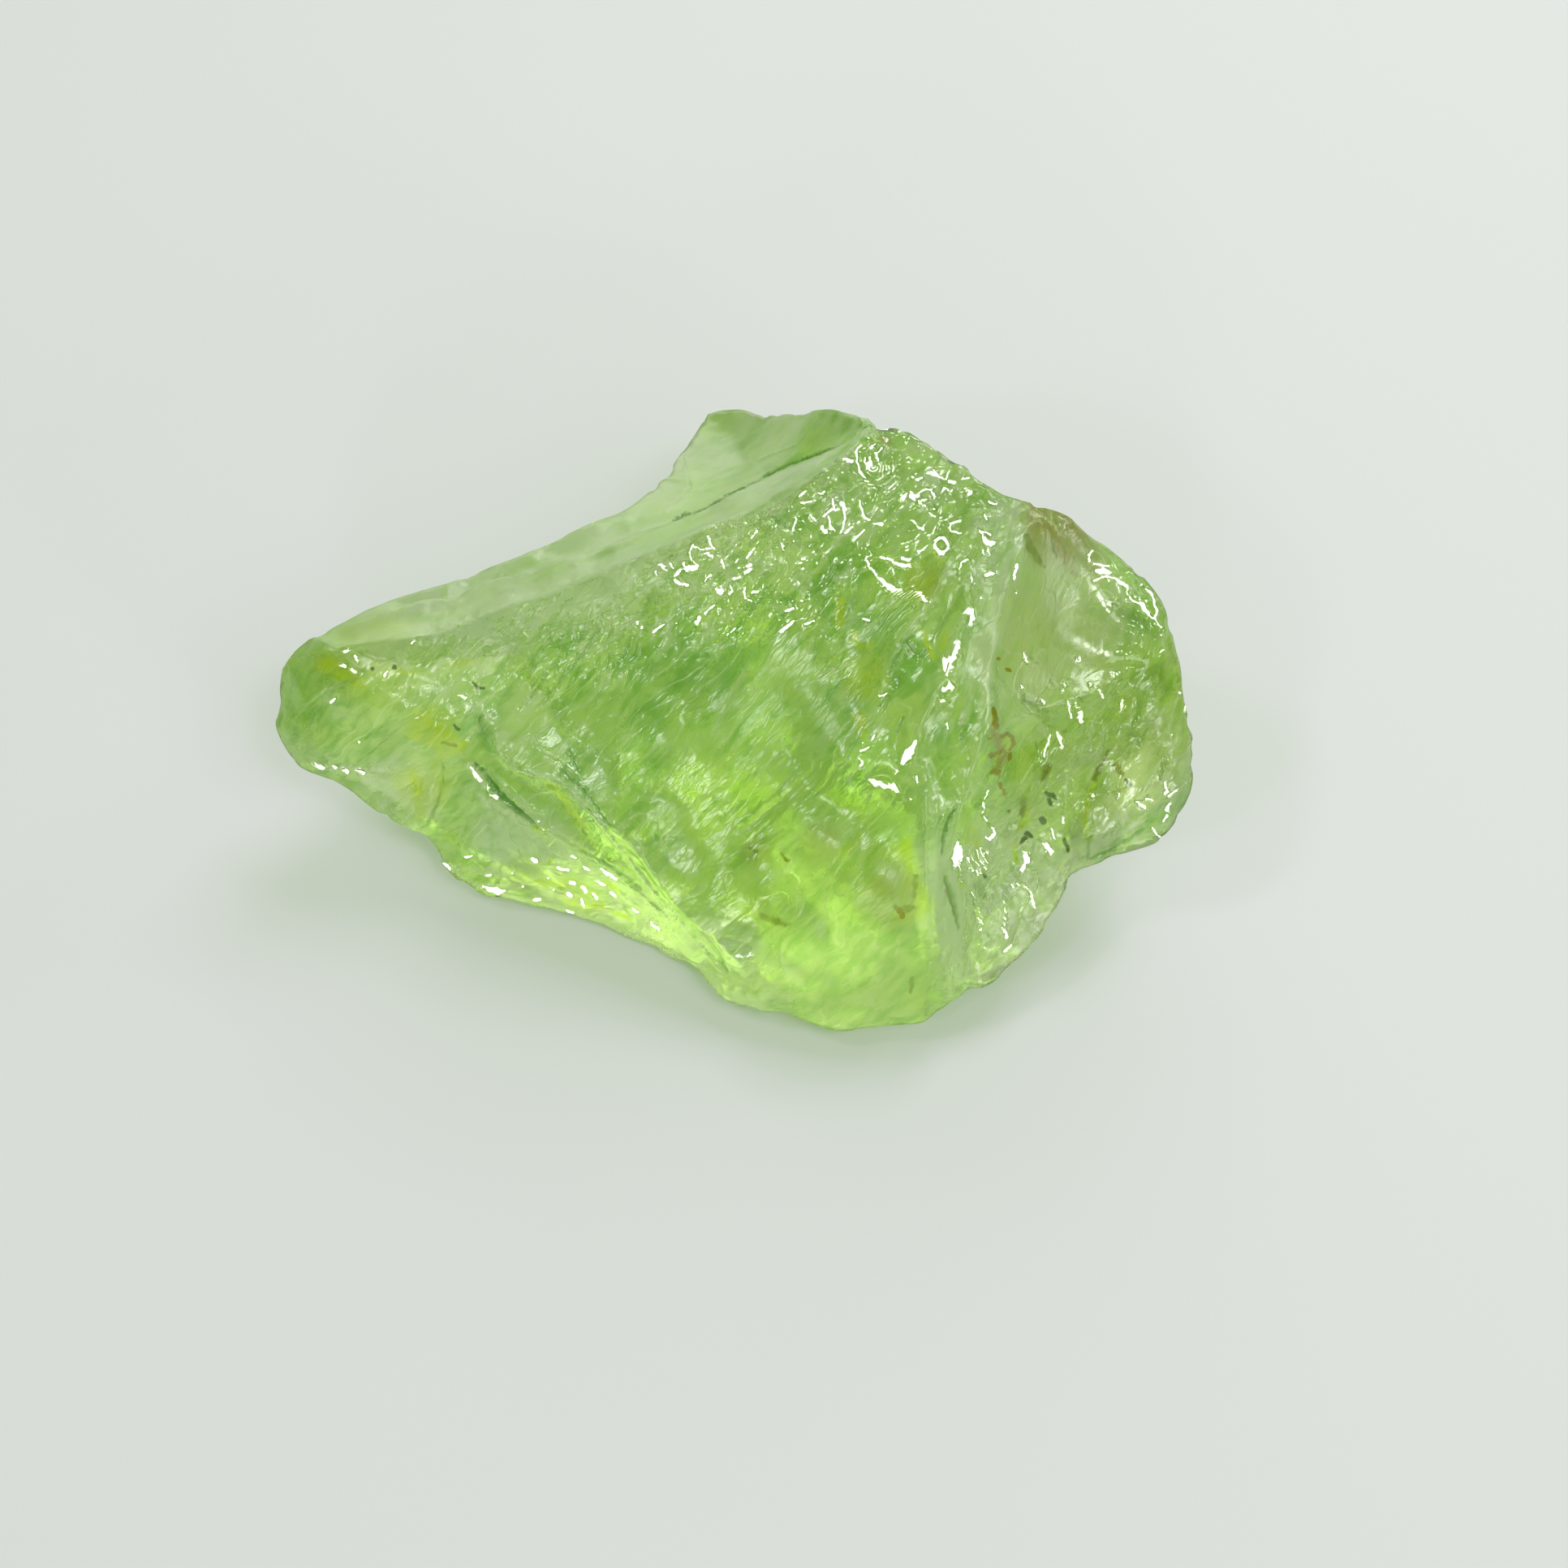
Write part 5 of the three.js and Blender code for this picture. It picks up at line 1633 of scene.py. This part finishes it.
def skin_colour(tree, place, streaks, fray, large, small, edge):
    """The stone's greens and stains, with painted sheen, light and shade, and how pale the skin is."""
    feeds = {"Vector": place, "Scale": CLOUD_SCALE, "Detail": 3.0}
    cloud = add(tree, "ShaderNodeTexNoise", feeds).outputs["Fac"]
    tone = maths(tree, "MULTIPLY", maths(tree, "SUBTRACT", large["Tone"], 0.5), SHIFT)
    shifts = [ramp(tree, streaks, *STREAK_DEEP), tone, ramp(tree, cloud, *CLOUD_DEEP)]
    deep = total(tree, [painted(tree, "deep")] + shifts)
    colour = tint(tree, ramp(tree, deep, 0.0, 1.0), GREEN, DEEP)

    # Rims: bruised skin and painted highlight; the middle of each bowl stays deeper, as painted shade.
    rims = maths(tree, "MULTIPLY", small["Rim"], large["Rim"])
    rims = maths(tree, "MULTIPLY", rims, painted(tree, "scallops"))
    wear_and_sheen = maths(tree, "ADD", painted(tree, "pale"), maths(tree, "MULTIPLY", rims, RIM_PALENESS))
    wear_and_sheen = maths(tree, "ADD", wear_and_sheen, maths(tree, "MULTIPLY", edge, STEP_PALENESS))
    pale = maths(tree, "MULTIPLY", wear_and_sheen, ramp(tree, streaks, *STREAK_PALENESS))
    colour = tint(tree, pale, colour, PALE)
    # Painted shade of cracks and hollows.
    colour = tint(tree, painted(tree, "shade"), colour, SHADE)

    clouded = ramp(tree, cloud, *CLOUD_STAINS)
    patchy = maths(tree, "ADD", clouded, ramp(tree, streaks, *STREAK_STAINS))
    for kind, stain_colour in (("yellow", YELLOW), ("brown", BROWN)):
        stain = maths(tree, "MAXIMUM", painted(tree, kind), stained(tree, kind, fray))
        colour = tint(tree, maths(tree, "MULTIPLY", stain, patchy), colour, stain_colour)
    colour = tint(tree, maths(tree, "MULTIPLY", stained(tree, "olive", fray), patchy), colour, OLIVE)
    colour = tint(tree, stained(tree, "rust", fray), colour, RUST)
    return tint(tree, stained(tree, "speck", fray), colour, SPECK), pale


print("greens and stains:", 4 + len(STAIN_EDGES))

# %% [markdown]
# The glass
#
# Garnet is dense, so it bends light more than window glass does, with an index of 1.74. Its green isn't
# on its skin alone: light loses red and blue on its way through, so thin edges are pale and the middle
# is deep. A plain absorption inside the volume does that. Fine veils make the stone a little cloudy,
# which is the part of the light that isn't let through. The light that the floor gets from the lamps,
# or through the stone, passes the skin unbent, so that the shadow is clean.

# %% Make the garnet
GARNET_INDEX = 1.74
CLEARNESS = 0.78
# Light inside is lost at a rate, for each metre, of the density times what the colour lacks of white.
DEPTH_COLOUR = (0.77, 0.91, 0.14, 1.0)
DEPTH_DENSITY = 270.0
SHADOW_TINT = (0.56, 0.70, 0.42, 1.0)
GLINT_ROUGHNESS = 0.03
PALE_ROUGHNESS = 0.10
FROST_ROUGHNESS = 0.30
# A noise of this scale and reach, in millimetres, bends all fine relief.
UNEVEN_SCALE = 3.5
UNEVEN_REACH = 0.12
# A finer one, from this value to that, frays the borders of the marks from here to there.
GRAIN_SCALE = 14.0
GRAIN_FRAY = (0.3, 0.7, -0.10, 0.30)


def facet_normal(tree, fray):
    """The facet's normal where the skin has a glint and is seen from outside, and else the skin's own."""
    skin = add(tree, "ShaderNodeNewGeometry").outputs
    outside = maths(tree, "SUBTRACT", 1.0, skin["Backfacing"])
    mask = maths(tree, "MULTIPLY", marked(tree, "glint", fray, GLINT_EDGE), outside)
    way = add(tree, "ShaderNodeAttribute", attribute_name="glint_way").outputs["Vector"]
    lean = scaled(tree, vectors(tree, "SUBTRACT", way, skin["Normal"]), mask)
    return vectors(tree, "NORMALIZE", vectors(tree, "ADD", skin["Normal"], lean))


def garnet_material():
    material, tree = new_material("tsavorite_glass")
    place = scaled(tree, add(tree, "ShaderNodeTexCoord").outputs["Object"], 1 / MM)
    uneven = bent(tree, place, UNEVEN_SCALE, UNEVEN_REACH)
    feeds = {"Vector": place, "Scale": GRAIN_SCALE, "Detail": 2.0}
    grain = add(tree, "ShaderNodeTexNoise", feeds).outputs["Fac"]
    fray = ramp(tree, grain, *GRAIN_FRAY)
    streaks = streak_value(tree, uneven)
    height, large, small, edge = skin_relief(tree, uneven, streaks)
    bump = {"Height": height, "Strength": 1.0, "Distance": MM, "Normal": facet_normal(tree, fray)}
    normal = add(tree, "ShaderNodeBump", bump).outputs[0]

    colour, pale = skin_colour(tree, uneven, streaks, fray, large, small, edge)
    frosty = maths(tree, "MULTIPLY", painted(tree, "frost"), FROST_ROUGHNESS)
    rough = maths(tree, "MULTIPLY_ADD", pale, PALE_ROUGHNESS, frosty)
    glass = {
        "Base Color": colour,
        "Roughness": maths(tree, "MULTIPLY_ADD", rough, unpolished(tree), GLINT_ROUGHNESS),
        "IOR": GARNET_INDEX,
        "Transmission Weight": CLEARNESS,
        "Normal": normal,
    }
    skin = add(tree, "ShaderNodeBsdfPrincipled", glass)
    passing = add(tree, "ShaderNodeBsdfTransparent", {"Color": SHADOW_TINT})
    ray = add(tree, "ShaderNodeLightPath").outputs
    loose = maths(tree, "MAXIMUM", ray["Is Shadow Ray"], ray["Is Diffuse Ray"])
    both = add(tree, "ShaderNodeMixShader", {0: loose, 1: skin.outputs[0], 2: passing.outputs[0]})
    inside = add(tree, "ShaderNodeVolumeAbsorption", {"Color": DEPTH_COLOUR, "Density": DEPTH_DENSITY})
    add(tree, "ShaderNodeOutputMaterial", {"Surface": both.outputs[0], "Volume": inside.outputs[0]})
    return material


stone.data.materials.clear()
stone.data.materials.append(garnet_material())
stone.data.shade_smooth()
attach(stone, "root")
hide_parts("tsavorite_garnet")
print("garnet set on", stone.name)

# %% [markdown]
# Floor and light
#
# The stone lies on a plain pale floor under soft light from above and behind. A clear stone shows what is
# around it, so the lamps differ in size: large soft ones give, with the painted sheen there, the pale sheen
# of the far slope and the smooth upper right face, and small bright ones give the hard glints. Lamps stay
# out of the camera's own view.

# %% Lay the floor and light the stone
FLOOR_HALF = 0.3
FLOOR_DROP = 0.02 * MM
PAPER = (0.755, 0.79, 0.75, 1.0)
PAPER_ROUGHNESS = 0.9
SKY_STRENGTH = 0.14


def floor_mesh():
    mesh = bpy.data.meshes.new("paper")
    corners = [(-1, -1), (1, -1), (1, 1), (-1, 1)]
    spots = [(x * FLOOR_HALF, y * FLOOR_HALF, -FLOOR_DROP) for x, y in corners]
    mesh.from_pydata(spots, [], [(0, 1, 2, 3)])
    return mesh


def paper_material():
    material, tree = new_material("pale_paper")
    sheet = add(tree, "ShaderNodeBsdfPrincipled", {"Base Color": PAPER, "Roughness": PAPER_ROUGHNESS})
    add(tree, "ShaderNodeOutputMaterial", {"Surface": sheet.outputs[0]})
    return material


floor = show(floor_mesh(), "paper_floor")
floor.data.materials.append(paper_material())


def hang_lamp(name, azimuth, elevation, distance, size, radiance):
    """A square lamp of a given brightness, turned to the stone."""
    away = Vector(direction(azimuth, elevation))
    light = show(bpy.data.lights.new(name, "AREA"), name)
    light.data.size = size * MM
    light.data.energy = radiance * math.pi * (size * MM) ** 2
    light.location = away * distance * MM
    light.rotation_euler = away.to_track_quat("Z", "Y").to_euler()
    light.visible_camera = False


for name, values in LAMPS.items():
    hang_lamp(name, *values)
sky = bpy.data.worlds.new("soft_sky")
sky.use_nodes = True
backdrop = sky.node_tree.nodes["Background"].inputs
backdrop["Color"].default_value = (1.0, 1.0, 1.0, 1.0)
backdrop["Strength"].default_value = SKY_STRENGTH
bpy.context.scene.world = sky
bpy.context.scene.view_settings.view_transform = "Standard"
print("lamps hung:", len(LAMPS))
